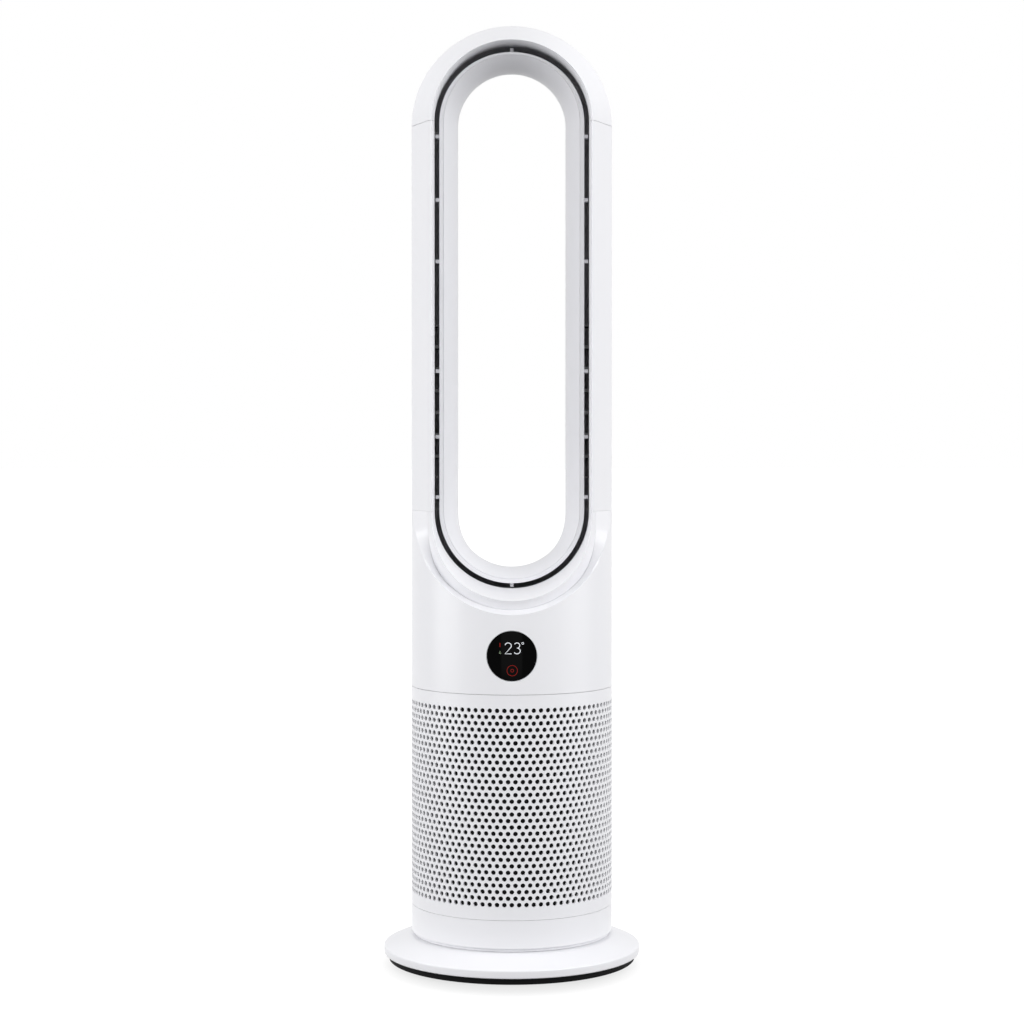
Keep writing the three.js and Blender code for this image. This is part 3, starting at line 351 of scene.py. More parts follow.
def brushed_pattern(group, place, scale):
    """Fine turning marks that run round the vertical axis."""
    stretched = node(group, "ShaderNodeMapping", {"Vector": place, "Scale": (0.05, 0.05, 1.0)})
    return noise(group, place, 30.0, 2.0), noise(group, stretched.outputs[0], scale, 4.0)


def fibre_pattern(group, place, scale):
    """Matted fibres of paper and felt."""
    cells = node(group, "ShaderNodeTexVoronoi", {"Vector": place, "Scale": scale})
    return cells.outputs["Distance"], noise(group, place, scale, 6.0, Distortion=2.5)


def board_pattern(group, place, scale):
    """Tracks and pads of a circuit board."""
    inputs = {"Vector": place, "Scale": scale, "Mortar Size": 0.03, "Bias": -0.4}
    tracks = node(group, "ShaderNodeTexBrick", inputs).outputs["Fac"]
    return tracks, tracks


def surface_groups():
    """The node groups that the fan's materials share."""
    return {
        "moulded": surface_group("MouldedGrain", 2600.0, 0.35, 0.1, moulded_pattern),
        "brushed": surface_group("TurningMarks", 900.0, 0.3, 0.2, brushed_pattern),
        "fibre": surface_group("MattedFibre", 700.0, 0.9, 0.1, fibre_pattern),
        "board": surface_group("BoardTracks", 120.0, 0.5, 0.2, board_pattern),
    }


def opaque(colour):
    return (*colour, 1.0)


def new_material(name):
    """A Principled material, in place of the plain one that the frame may bring under this name."""
    if name in bpy.data.materials:
        bpy.data.materials.remove(bpy.data.materials[name])
    material = bpy.data.materials.new(name)
    material.use_nodes = True
    return material


def surface(name, group, colour, tint_to, scale, roughness, spread, relief, sockets):
    """A Principled material on one of the shared groups, with more values for its sockets."""
    material = new_material(name)
    tree = material.node_tree
    values = {"Scale": scale, "Roughness": roughness, "Spread": spread}
    values.update(Colour=opaque(colour), Tint=opaque(tint_to))
    texture = node(tree, "ShaderNodeGroup", values, node_tree=group).outputs
    bump = {"Height": texture["Height"], "Strength": 1.0, "Distance": relief}
    principled = tree.nodes["Principled BSDF"].inputs
    tree.links.new(texture["Colour"], principled["Base Color"])
    tree.links.new(texture["Roughness"], principled["Roughness"])
    tree.links.new(node(tree, "ShaderNodeBump", bump).outputs["Normal"], principled["Normal"])
    for socket, value in sockets.items():
        principled[socket].default_value = value
    return material


def lit(name, group, colour, strength):
    """A sign that glows behind the lens."""
    unlit = toned(colour, 0.02)
    glow = {"Emission Color": opaque(colour), "Emission Strength": strength}
    glow["Specular IOR Level"] = 0.05
    return surface(name, group, unlit, unlit, 1500.0, 0.5, 0.1, 0.0, glow)


def toned(colour, share):
    return tuple(share * c for c in colour)


METAL = {"Metallic": 1.0}
DULL = {"Specular IOR Level": 0.08}
DARK_GLASS = {"Specular IOR Level": 0.03}

# Slot, group, colour, the shares of it in the finish and its tint, then the pattern's scale, the
# roughness, its spread, the relief's depth in metres and what else the shader needs.
FINISHES = (
    ("foot_rubber", "moulded", "foot", 1.0, 1.8, 1800, 0.62, 0.2, 6e-5, DULL),
    ("dark_plastic", "moulded", "dark", 1.0, 1.4, 1800, 0.5, 0.2, 4e-5, {}),
    ("impeller_plastic", "moulded", "dark", 3.0, 2.5, 1800, 0.45, 0.2, 3e-5, {}),
    ("sleeve_rubber", "moulded", "foot", 2.0, 1.0, 1500, 0.8, 0.2, 6e-5, {}),
    ("acetal", "moulded", "acetal", 1.0, 0.93, 1600, 0.42, 0.1, 2e-5, {}),
    ("black_glass", "moulded", "glass", 1.0, 0.6, 300, 0.06, 0.02, 0.0, DARK_GLASS),
    ("bezel_metal", "brushed", "bezel", 1.0, 0.9, 2000, 0.16, 0.08, 2e-6, METAL),
    ("ballast_steel", "moulded", "steel", 0.3, 0.22, 700, 0.5, 0.3, 5e-5, {"Metallic": 0.5}),
    ("spindle_steel", "brushed", "steel", 1.0, 0.8, 1400, 0.28, 0.15, 8e-6, METAL),
    ("motor_steel", "brushed", "steel", 0.9, 0.7, 900, 0.34, 0.2, 1e-5, METAL),
    ("motor_aluminium", "moulded", "aluminium", 1.0, 0.85, 1200, 0.45, 0.15, 4e-5, METAL),
    ("heater_aluminium", "brushed", "aluminium", 0.3, 0.2, 800, 0.5, 0.2, 1e-5, METAL),
    ("filter_paper", "fibre", "paper", 1.0, 0.9, 900, 0.9, 0.1, 1e-4, {"Sheen Weight": 0.2}),
    ("carbon_felt", "fibre", "felt", 1.0, 2.2, 1100, 0.95, 0.1, 2e-4, {"Sheen Weight": 0.15}),
    ("circuit_board", "board", "board", 1.0, 1.8, 160, 0.35, 0.2, 3e-5, {}),
)


def make_materials(colours):
    """Every finish, by the record's material slot, and the lit signs."""
    groups = surface_groups()
    moulded = groups["moulded"]
    white = (moulded, colours.shell, colours.shell_tint, 2600.0, 0.33, 0.10, 1.2e-5)
    gloss = {"Coat Weight": 0.12, "Coat Roughness": 0.25, "IOR": 1.46}
    made = {"white_plastic": surface("white_plastic", *white, gloss)}
    for slot, group, key, share, tint_share, *values in FINISHES:
        colour = getattr(colours, key)
        tones = toned(colour, share), toned(colour, tint_share)
        made[slot] = surface(slot, groups[group], *tones, *values)
    for sign, strength in (("digits", 0.95), ("warm", 0.28), ("fresh", 0.5)):
        slot = f"lit_{sign}"
        made[slot] = lit(slot, moulded, getattr(colours, sign), strength)
    return made


# Mesh helpers


def sharpen(bm):
    """Smooth faces, with a hard line wherever they turn sharply."""
    for face in bm.faces:
        face.smooth = True
    for edge in bm.edges:
        edge.smooth = len(edge.link_faces) != 2 or edge.calc_face_angle(0.0) < SHARP


def bevel(bm, edges, width, segments):
    bmesh.ops.bevel(
        bm,
        geom=edges,
        offset=width,
        affect="EDGES",
        segments=segments,
        profile=0.5,
        material=-1,
        clamp_overlap=True,
    )


def round_edges(bm, width, segments=3, test=None, sharp=SHARP):
    """Rounds the edges that turn sharply, or those of them that pass a test."""
    edges = [
        edge
        for edge in bm.edges
        if len(edge.link_faces) == 2
        and edge.calc_face_angle(0.0) > sharp
        and (test is None or test(edge))
    ]
    bevel(bm, edges, width, segments)


def at_levels(*levels):
    """A test for edges that lie level, at one of the heights."""

    def test(edge):
        return any(all(abs(end.co.z - level) < LEVEL for end in edge.verts) for level in levels)

    return test


def mesh_of(bm, name):
    """A mesh from a bmesh, which is freed."""
    mesh = bpy.data.meshes.new(name)
    bm.to_mesh(mesh)
    bm.free()
    return mesh


def placed(name, data):
    """An object in the scene."""
    made = bpy.data.objects.new(name, data)
    bpy.context.scene.collection.objects.link(made)
    return made


def piece(name, bm, slot, body, *replaced, weighted=True):
    """Turns the bmesh into a finished object that rides on a body."""
    sharpen(bm)
    made = placed(name, mesh_of(bm, name))
    made.data.materials.append(bpy.data.materials[slot])
    if weighted:
        modifier = made.modifiers.new("Normals", "WEIGHTED_NORMAL")
        modifier.keep_sharp = True
        modifier.weight = 80
    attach(made, body)
    if replaced:
        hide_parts(*replaced)
    return made


def rotate(bm, matrix):
    bmesh.ops.rotate(bm, verts=bm.verts, cent=(0, 0, 0), matrix=matrix)


def move(bm, step, corners):
    bmesh.ops.translate(bm, vec=step, verts=corners)


def corners_in(geometry):
    return [item for item in geometry if isinstance(item, bmesh.types.BMVert)]


def extrude(bm, edges, step):
    """Faces from the edges to their copies a step away."""
    move(bm, step, corners_in(bmesh.ops.extrude_edge_only(bm, edges=edges)["geom"]))


def face_outward(bm, judged):
    """Turns the normals away from the frame's origin, judged by that many of the faces."""
    bmesh.ops.recalc_face_normals(bm, faces=bm.faces[:])
    if sum(face.normal.dot(face.calc_center_median()) for face in bm.faces[:judged]) < 0:
        bmesh.ops.reverse_faces(bm, faces=bm.faces[:])


def ring_of_edges(bm, points, closed=True):
    """A run of edges through the points."""
    corners = [bm.verts.new(point) for point in points]
    pairs = list(zip(corners, corners[1:]))
    if closed:
        pairs.append((corners[-1], corners[0]))
    return [bm.edges.new(pair) for pair in pairs]


def lathe(profile, steps=160, turn=2 * math.pi, start=0.0):
    """A closed profile of (radius, height) points turned about the Z axis."""
    bm = bmesh.new()
    direction = Vector((math.cos(start), math.sin(start), 0.0))
    points = [direction * r + Vector((0.0, 0.0, z)) for r, z in profile]
    edges = ring_of_edges(bm, points)
    whole = turn >= 2 * math.pi
    end = None if whole else bmesh.ops.contextual_create(bm, geom=edges)["faces"]
    bmesh.ops.spin(
        bm,
        geom=end or edges + bm.verts[:],
        axis=(0.0, 0.0, 1.0),
        cent=(0.0, 0.0, 0.0),
        angle=turn,
        steps=steps,
        use_merge=whole,
    )
    bmesh.ops.recalc_face_normals(bm, faces=bm.faces[:])
    return bm


def tube(inner, outer, bottom, top, **turning):
    return lathe([(inner, bottom), (outer, bottom), (outer, top), (inner, top)], **turning)


def loft(rings, closed=False):
    """Rings of points skinned one to the next, with faces over the ends of an open run."""
    bm = bmesh.new()
    loops = [ring_of_edges(bm, points) for points in rings]
    following = loops[1:] + (loops[:1] if closed else [])
    for here, there in zip(loops, following):
        bmesh.ops.bridge_loops(bm, edges=here + there)
    if not closed:
        for end in (loops[0], loops[-1]):
            bmesh.ops.contextual_create(bm, geom=end)
    bmesh.ops.recalc_face_normals(bm, faces=bm.faces[:])
    return bm


def thicken(line, wall):
    """A wall: an open line of points and its copy moved to the right of its direction."""
    points = [Vector(point) for point in line]
    runs = [(b - a).normalized() for a, b in zip(points, points[1:])]
    rights = [Vector((run.y, -run.x)) for run in runs]
    moved = []
    for i, point in enumerate(points):
        before = rights[max(i - 1, 0)]
        after = rights[min(i, len(rights) - 1)]
        middle = (before + after).normalized()
        moved.append(point + middle * (wall / middle.dot(before)))
    return [tuple(p) for p in points + moved[::-1]]


def cut(target, cutter):
    """Takes a closed shape out of an object's mesh."""
    tool = placed("cutter", mesh_of(cutter, "cutter"))
    for modifier in target.modifiers:
        modifier.show_viewport = False
    boolean = target.modifiers.new("Cut", "BOOLEAN")
    boolean.operation = "DIFFERENCE"
    boolean.solver = "EXACT"
    boolean.object = tool
    graph = bpy.context.evaluated_depsgraph_get()
    result = bpy.data.meshes.new_from_object(target.evaluated_get(graph))
    target.modifiers.remove(boolean)
    target.data = result
    for modifier in target.modifiers:
        modifier.show_viewport = True
    bpy.data.meshes.remove(tool.data)
    bm = bmesh.new()
    bm.from_mesh(result)
    sharpen(bm)
    bm.to_mesh(result)
    bm.free()


def arc(x, z, wide, tall, start, end, steps=12):
    """Points of an elliptical arc, between two angles in degrees."""
    angles = [math.radians(mix(start, end, i / steps)) for i in range(steps + 1)]
    return [(x + wide * math.cos(a), z + tall * math.sin(a)) for a in angles]


# Lines of the air loop


def mix(a, b, share):
    return a + (b - a) * share


def smoothstep(value, low, high):
    share = min(1.0, max(0.0, (value - low) / (high - low)))
    return share * share * (3 - 2 * share)


class LoopLines:
    """The lines that run round the loop, each as an (r, d) point at an angle of the arcs."""

    LOW_BLEND = math.radians(48)  # turn below the arms over which a line reaches its low course
    LATE_BLEND = 1.25 * LOW_BLEND
    FLAT = 0.001  # how far the arms' flat side runs on past the column's curve
    LOW_INSET = 0.0012  # bevel of the housing's edge at the bottom, across
    LOW_DROP = 0.0026  # and towards the back
    SLOT_DRAFT = 0.0012  # how much the slot's outer wall widens inwards
    RIM_TIP = 0.001  # how far the rim's lip runs on from the throat
    RIM_HOLLOW = 0.0015  # wall of that lip over the rim's hollow

    def __init__(self, sizes):
        self.s = sizes

    def lowness(self, angle, blend=LOW_BLEND):
        """0 in the arms and the top arch, 1 along the bottom of the loop."""
        below = math.asin(min(1.0, max(0.0, -math.sin(angle))))
        return smoothstep(below, 0.0, blend)

    def on_plan(self, angle, plan, r):
        """Depth at which a line at radius r meets an upright cylinder of the plan radius."""
        across = r * (math.cos(angle) if math.sin(angle) < 0 else 1.0)
        return math.sqrt(max(0.0, plan**2 - across**2))

    def outer(self, angle, flat=FLAT):
        low = self.lowness(angle)
        r = mix(self.s.outer_radius, self.s.low_outer_radius, low)
        return r, self.on_plan(angle, self.s.outer_radius, r) + flat * (1 - low)

    def edge(self, angle):
        low = self.lowness(angle)
        r, d = self.outer(angle)
        inset = mix(self.s.outer_radius - self.s.edge_radius, self.LOW_INSET, low)
        return r - inset, d + mix(self.s.edge_depth - self.FLAT, -self.LOW_DROP, low)

    def line(self, angle, radius, depth, low_radius, low_plan, blend=LOW_BLEND):
        """A line given by its point in the arms, and by radius and plan at the bottom."""
        low = self.lowness(angle, blend)
        r = mix(radius, low_radius, low)
        return r, self.on_plan(angle, mix(math.hypot(radius, depth), low_plan, low), r)

    def fold(self, angle):
        s = self.s
        return self.line(angle, s.fold_radius, s.fold_depth, s.low_fold_radius, s.low_fold_plan)

    def crest(self, angle):
        s = self.s
        low = s.low_crest_radius, s.low_crest_plan, self.LATE_BLEND
        return self.line(angle, s.crest_radius, s.crest_depth, *low)

    def rear_lip(self, angle):
        s = self.s
        low = s.low_crest_radius, s.low_fold_plan, self.LATE_BLEND
        return behind(self.line(angle, s.rear_lip_radius, s.rear_lip_depth, *low))

    def throat(self, angle):
        r = mix(self.s.throat_radius, self.s.low_throat_radius, self.lowness(angle))
        return r, -self.s.throat_back

    def throat_front(self, angle):
        return flare(self.throat(angle), (self.s.throat_front, self.s.rim_depth))

    def rim(self, angle):
        return self.s.rim_radius - self.s.rim_inset * max(0.0, math.sin(angle)) ** 2

    def bezel_line(self, angle):
        """Slot wall, lip and crest."""
        back = self.s.slot_depth - self.s.slot_wall
        wall_end = (self.s.slot_radius + self.SLOT_DRAFT, back)
        return [wall_end, (self.s.slot_radius, self.s.slot_depth), self.crest(angle)]

    # sections

    def front_shell(self, angle):
        line = self.bezel_line(angle) + [self.fold(angle), self.edge(angle), self.outer(angle)]
        return thicken(line + [(self.s.outer_radius, SEAM / 2)], self.s.wall)

    def lower_bezel(self, angle):
        r, d = self.fold(angle)
        back = [(r - SEAM / 3, d), (r - SEAM / 3, d - self.s.bezel_return)]
        return thicken(self.bezel_line(angle) + back, self.s.wall)

    def rear_shell(self, angle):
        line = [behind(self.outer(angle)), behind(self.edge(angle)), behind(self.fold(angle))]
        return thicken([(self.s.outer_radius, -SEAM / 2), *line, self.rear_lip(angle)], self.s.wall)

    def rear_lower_shell(self, angle):
        r, d = self.fold(angle)
        line = [(r - SEAM, self.s.bezel_return - d), (r - SEAM, -d), self.rear_lip(angle)]
        return thicken(line, self.s.wall)

    def throat_ring(self, angle):
        fold, lip = behind(self.fold(angle)), self.rear_lip(angle)
        start = onward(fold, lip, SEAM)
        turn = onward(fold, lip, SEAM + self.s.throat_return)
        throat = self.throat(angle)
        line = [start, *flare(throat, turn)[::-1], throat, *self.throat_front(angle)]
        return thicken(line, self.s.throat_wall)

    def slot_rim(self, angle):
        outer = self.rim(angle)
        inner = outer - self.s.rim_wall
        back = self.s.rim_depth - self.s.rim_skirt
        before, end = self.throat_front(angle)[-2:]
        tip = [onward(before, end, SEAM), onward(before, end, self.RIM_TIP)]
        front, _, _, under = thicken(tip, self.s.throat_wall)
        hollow = under[1] - self.RIM_HOLLOW
        skirt = [(outer, self.s.rim_depth), (outer, back), (inner, back), (inner, hollow)]
        return [front, *skirt, under]


def behind(point):
    return point[0], -point[1]


def onward(start, end, distance):
    """The point a distance past the end of a line."""
    share = distance / math.dist(start, end)
    return end[0] + (end[0] - start[0]) * share, end[1] + (end[1] - start[1]) * share


def flare(start, end, steps=8, sweep=math.radians(42)):
    """Part of an ellipse from the throat out to an edge of the duct."""
    points = []
    for i in range(1, steps + 1):
        turn = sweep * i / steps
        out = (1 - math.cos(turn)) / (1 - math.cos(sweep))
        along = math.sin(turn) / math.sin(sweep)
        points.append((mix(start[0], end[0], out), mix(start[1], end[1], along)))
    return points


def in_space(point, angle, centre):
    r, d = point
    return Vector((r * math.cos(angle), -d, centre + r * math.sin(angle)))


def station_points(section, angle, centre):
    """A section's points in space."""
    return [in_space(point, angle, centre) for point in section(angle)]


def arc_angles(start, steps):
    return [start + math.pi * i / steps for i in range(steps + 1)]


def top_arc(section, s):
    return [station_points(section, a, s.top_centre) for a in arc_angles(0.0, 2 * s.steps)]


def low_arc(section, s):
    return [station_points(section, a, s.bottom_centre) for a in arc_angles(math.pi, 2 * s.steps)]


# Base and column


class FanOperator(bpy.types.Operator):
    """What the fan's operators share."""

    bl_options = {"REGISTER", "UNDO"}

    @property
    def fan(self):
        return bpy.context.scene.tower_fan


class FAN_OT_materials(FanOperator):
    """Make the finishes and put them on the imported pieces."""

    bl_idname = "tower_fan.materials"
    bl_label = "Materials"

    def execute(self, context):
        made = make_materials(self.fan.colours)
        for part in frame["record"]["subparts"]:
            kept = frame["nodes"][part["node"]]
            for holder in kept.material_slots:
                holder.material = made[part["material_slot"]]
        return {"FINISHED"}


class FAN_OT_base(FanOperator):
    """Make the rubber foot and the base disc."""

    bl_idname = "tower_fan.base"
    bl_label = "Base"

    def execute(self, context):
        s = self.fan.base
        foot = tube(s.foot_radius - s.foot_width, s.foot_radius, 0.0, s.foot_height)
        round_edges(foot, s.foot_round)
        piece("rubber_foot", foot, "foot_rubber", "base", "foot_ring")
        disc = lathe(self.disc_profile(s))
        outer = (s.well_radius + s.disc_radius) / 2
        round_edges(disc, s.disc_round, 4, lambda edge: edge.verts[0].co.xy.length > outer)
        piece("disc", disc, "white_plastic", "base", "base_disc")
        return {"FINISHED"}

    def disc_profile(self, s):
        """The disc's section: a well in the middle, a crowned slope and an upright rim."""
        rim_top = s.foot_height + s.rim_height
        slope = []
        for share in (i / 8 for i in range(9)):
            bulge = s.crown * 4 * share * (1 - share)
            height = mix(s.disc_top, rim_top, share) + bulge
            slope.append((mix(s.rise_radius, s.disc_radius, share), height))
        inside = s.disc_radius - s.disc_wall
        under = s.disc_top - s.disc_wall
        return [
            (s.bore, s.well_floor - s.disc_wall),
            (s.bore, s.well_floor),
            (s.well_radius, s.well_floor),
            (s.well_radius, s.disc_top),
            *slope,
            (s.disc_radius, s.foot_height),
            (inside, s.foot_height),
            (inside, rim_top - s.rim_roof),
            (s.rise_radius - s.slope_offset, under),
            (s.well_radius + s.disc_wall, under),
            (s.well_radius + s.disc_wall, s.well_floor - s.disc_wall),
        ]


class FAN_OT_turning_ring(FanOperator):
    """Make the ring at the bottom of the turning column."""

    bl_idname = "tower_fan.turning_ring"
    bl_label = "Turning Ring"

    def execute(self, context):
        s = self.fan.column
        inner, neck = s.radius - s.wall, s.neck_radius - s.wall
        floor = s.ring_bottom + s.wall
        under = s.ring_top - s.ledge_drop
        profile = [
            (s.spindle_bore, s.ring_bottom),
            (neck, s.ring_bottom),
            (neck, s.neck_bottom),
            (s.neck_radius, s.neck_bottom),
            (s.neck_radius, s.ring_bottom),
            (s.radius, s.ring_bottom),
            (s.radius, s.ring_top),
            (inner, s.ring_top),
            (inner, under),
            (inner - s.ledge, under),
            (inner, under - s.ledge),
            (inner, floor),
            (s.spindle_bore, floor),
        ]
        ring = lathe(profile)
        self.round_outside(ring, s, s.ring_bottom, s.ring_round, 4)
        self.round_outside(ring, s, s.ring_top, s.seam_round, 2)
        made = piece("turning_ring", ring, "white_plastic", "column", "column_bottom_ring")
        cut(made, self.socket_cutter())
        return {"FINISHED"}

    def round_outside(self, bm, s, level, width, segments):
        """Rounds the ring's edges at a height, outside its neck."""
        wall = (s.neck_radius + s.radius) / 2
        level = at_levels(level)
        test = lambda edge: edge.verts[0].co.xy.length > wall and level(edge)
        round_edges(bm, width, segments, test)

    def socket_cutter(self):
        """The opening for the power inlet, open to the back."""
        low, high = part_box("power_inlet")
        through = 0.02
        span = high - low + Vector((2 * SEAM, through, 2 * SEAM))
        place = Matrix.Translation((low + high) / 2) @ Matrix.Diagonal((*span, 1.0))
        bm = bmesh.new()
        bmesh.ops.create_cube(bm, size=1.0, matrix=place)
        return bm


class FAN_OT_intake(FanOperator):
    """Make the two perforated skins, the carbon felts and the pleated filters."""

    bl_idname = "tower_fan.intake"
    bl_label = "Intake"

    def execute(self, context):
        s = self.fan.intake
        for side, name in ((math.pi, "front"), (0.0, "rear")):
            skin = self.skin(s, self.fan.column.radius)
            rotate(skin, Matrix.Rotation(side, 3, "Z"))
            grille = f"{name}_grille"
            piece(f"{name}_skin", skin, "white_plastic", grille, grille, weighted=False)
            self.felt(s, side, name)
            self.paper(s, side, name)
        return {"FINISHED"}

    def cell(self, bm, s, pitch, rise):
        """One hole in its field, with the points that its neighbours share."""
        hole = bmesh.ops.create_circle(bm, segments=12, radius=s.hole / 2)["verts"]
        field = bmesh.ops.create_circle(bm, segments=12, radius=1.0)["verts"]
        for corner in field:
            across, up = (round(2 * place) for place in corner.co.xy)
            corner.co = (pitch / 2 * max(-1, min(1, across)), rise / 4 * up, 0.0)
        edges = {edge for corner in hole + field for edge in corner.link_edges}
        bmesh.ops.bridge_loops(bm, edges=list(edges))

    def half_cell(self, bm, pitch, rise, middle):
        """The closed half field at an end of a shifted row."""
        made = bmesh.ops.create_grid(bm, x_segments=1, y_segments=4, size=0.5)["verts"]
        bmesh.ops.scale(bm, vec=(pitch / 2, rise, 1.0), verts=made)
        move(bm, (middle, 0.0, 0.0), made)

    def row(self, s, pitch, rise, shifted):
        """A flat row of fields, from the left end of the skin to the right."""
        bm = bmesh.new()
        self.cell(bm, s, pitch, rise)
        move(bm, (pitch if shifted else pitch / 2, 0.0, 0.0), bm.verts)
        source = bm.verts[:] + bm.edges[:] + bm.faces[:]
        for i in range(1, s.columns - 1 if shifted else s.columns):
            copied = bmesh.ops.duplicate(bm, geom=source)["geom"]
            move(bm, (i * pitch, 0.0, 0.0), corners_in(copied))
        if shifted:
            self.half_cell(bm, pitch, rise, pitch / 4)
            self.half_cell(bm, pitch, rise, (s.columns - 0.25) * pitch)
        return mesh_of(bm, "row")

    def skin(self, s, radius):
        """Half of the intake's skin, bent round the column, on the +Y side."""
        gap = SEAM / (2 * radius)
        pitch = radius * (math.pi - 2 * gap) / s.columns
        rise = (s.last_row - s.first_row) / (s.rows - 1)
        rows = [self.row(s, pitch, rise, shifted) for shifted in (True, False)]
        bm = bmesh.new()
        for i in range(s.rows):
            before = len(bm.verts)
            bm.from_mesh(rows[i % 2])
            bm.verts.ensure_lookup_table()
            move(bm, (0.0, s.first_row + i * rise, 0.0), bm.verts[before:])
        for mesh in rows:
            bpy.data.meshes.remove(mesh)
        bmesh.ops.remove_doubles(bm, verts=bm.verts, dist=pitch / 100)
        self.plain_band(bm, s.first_row - rise / 2, s.bottom)
        self.plain_band(bm, s.last_row + rise / 2, s.top)
        for corner in bm.verts:
            angle = gap + corner.co.x / radius
            corner.co = (radius * math.cos(angle), radius * math.sin(angle), corner.co.y)
        face_outward(bm, 50)
        bmesh.ops.solidify(bm, geom=bm.faces[:], thickness=s.skin)
        return bm

    def plain_band(self, bm, level, end):
        """A closed band from the outer edge of the holes' field to the skin's end."""
        edges = [
            edge
            for edge in bm.edges
            if all(abs(corner.co.y - level) < LEVEL for corner in edge.verts)
        ]
        extrude(bm, edges, (0.0, end - level, 0.0))

    def felt(self, s, side, name):
        inner = s.felt_radius - s.felt
        margin = s.felt_margin / s.felt_radius
        turning = {"steps": 72, "turn": math.pi - 2 * margin, "start": side + margin}
        bm = tube(inner, s.felt_radius, s.filter_bottom, s.filter_top, **turning)
        round_edges(bm, s.felt_round, 2)
        piece(f"{name}_felt", bm, "carbon_felt", "column", f"{name}_carbon_felt")

    def paper(self, s, side, name):
        """A band of pleated paper, folded back and forth inside the felt."""
        inside = s.felt_radius - s.felt - s.paper_gap
        margin = s.paper_margin / inside
        step = (math.pi - 2 * margin) / (2 * s.pleats)
        tip = s.paper / math.sin(math.atan(step * inside / s.pleat))
        outer = inside - tip
        bm = bmesh.new()
        points = []
        for i in range(2 * s.pleats + 1):
            r = outer - (s.pleat if i % 2 else 0.0)
            angle = side + margin + i * step
            points.append((r * math.cos(angle), r * math.sin(angle), s.filter_bottom))
        edges = ring_of_edges(bm, points, closed=False)
        extrude(bm, edges, (0.0, 0.0, s.filter_top - s.filter_bottom))
        bmesh.ops.solidify(bm, geom=bm.faces[:], thickness=s.paper)
        bmesh.ops.recalc_face_normals(bm, faces=bm.faces[:])
        piece(f"{name}_paper", bm, "filter_paper", "column", f"{name}_filter")


class FAN_OT_housing(FanOperator):
    """Make the upper housing: the column's wall up to the faceted saddle under the loop."""

    bl_idname = "tower_fan.housing"
    bl_label = "Upper Housing"

    def execute(self, context):
        s, display = self.fan.column, self.fan.display
        bm = bmesh.new()
        self.outer_skin(bm, s, self.fan.loop)
        bmesh.ops.remove_doubles(bm, verts=bm.verts, dist=WELD)
        face_outward(bm, len(bm.faces))
        bmesh.ops.solidify(bm, geom=bm.faces[:], thickness=s.wall)
        round_edges(bm, s.seam_round, 2, at_levels(s.housing_bottom))
        made = piece("upper_shell", bm, "white_plastic", "column", "upper_housing")
        cut(made, self.window_cutter(s, display))
        return {"FINISHED"}

    def window_cutter(self, s, display):
        """A round bar through the wall where the display sits."""
        radius = display.lens_radius + display.bezel + SEAM / 2
        ahead, within = 0.01, 0.012
        middle = (0.0, -s.radius + (within - ahead) / 2, display.height)
        place = Matrix.Translation(middle) @ UPRIGHT.to_4x4()
        bm = bmesh.new()
        bmesh.ops.create_cone(
            bm,
            cap_ends=True,
            segments=128,
            radius1=radius,
            radius2=radius,
            depth=ahead + within,
            matrix=place,
        )
        return bm

    def outer_skin(self, bm, s, loop):
        """The wall, closed round the column, and a facet strip over its front and its back."""
        lines = LoopLines(loop)
        rows = [[], [], [], []]
        for angle in arc_angles(math.pi, 2 * loop.steps):
            courses = (lines.outer(angle, flat=0.0), lines.edge(angle), lines.fold(angle))
            top, *rest = (in_space(point, angle, loop.bottom_centre) for point in courses)
            foot = Vector((top.x, top.y, s.housing_bottom))
            for row, point in zip(rows, (foot, top, *rest)):
                row.append(point)
        for side in (1, -1):
            turn = Matrix.Diagonal((side, side, 1))
            chains = [ring_of_edges(bm, [turn @ p for p in row], closed=False) for row in rows]
            for lower, upper in zip(chains, chains[1:]):
                bmesh.ops.bridge_loops(bm, edges=lower + upper)


# Display


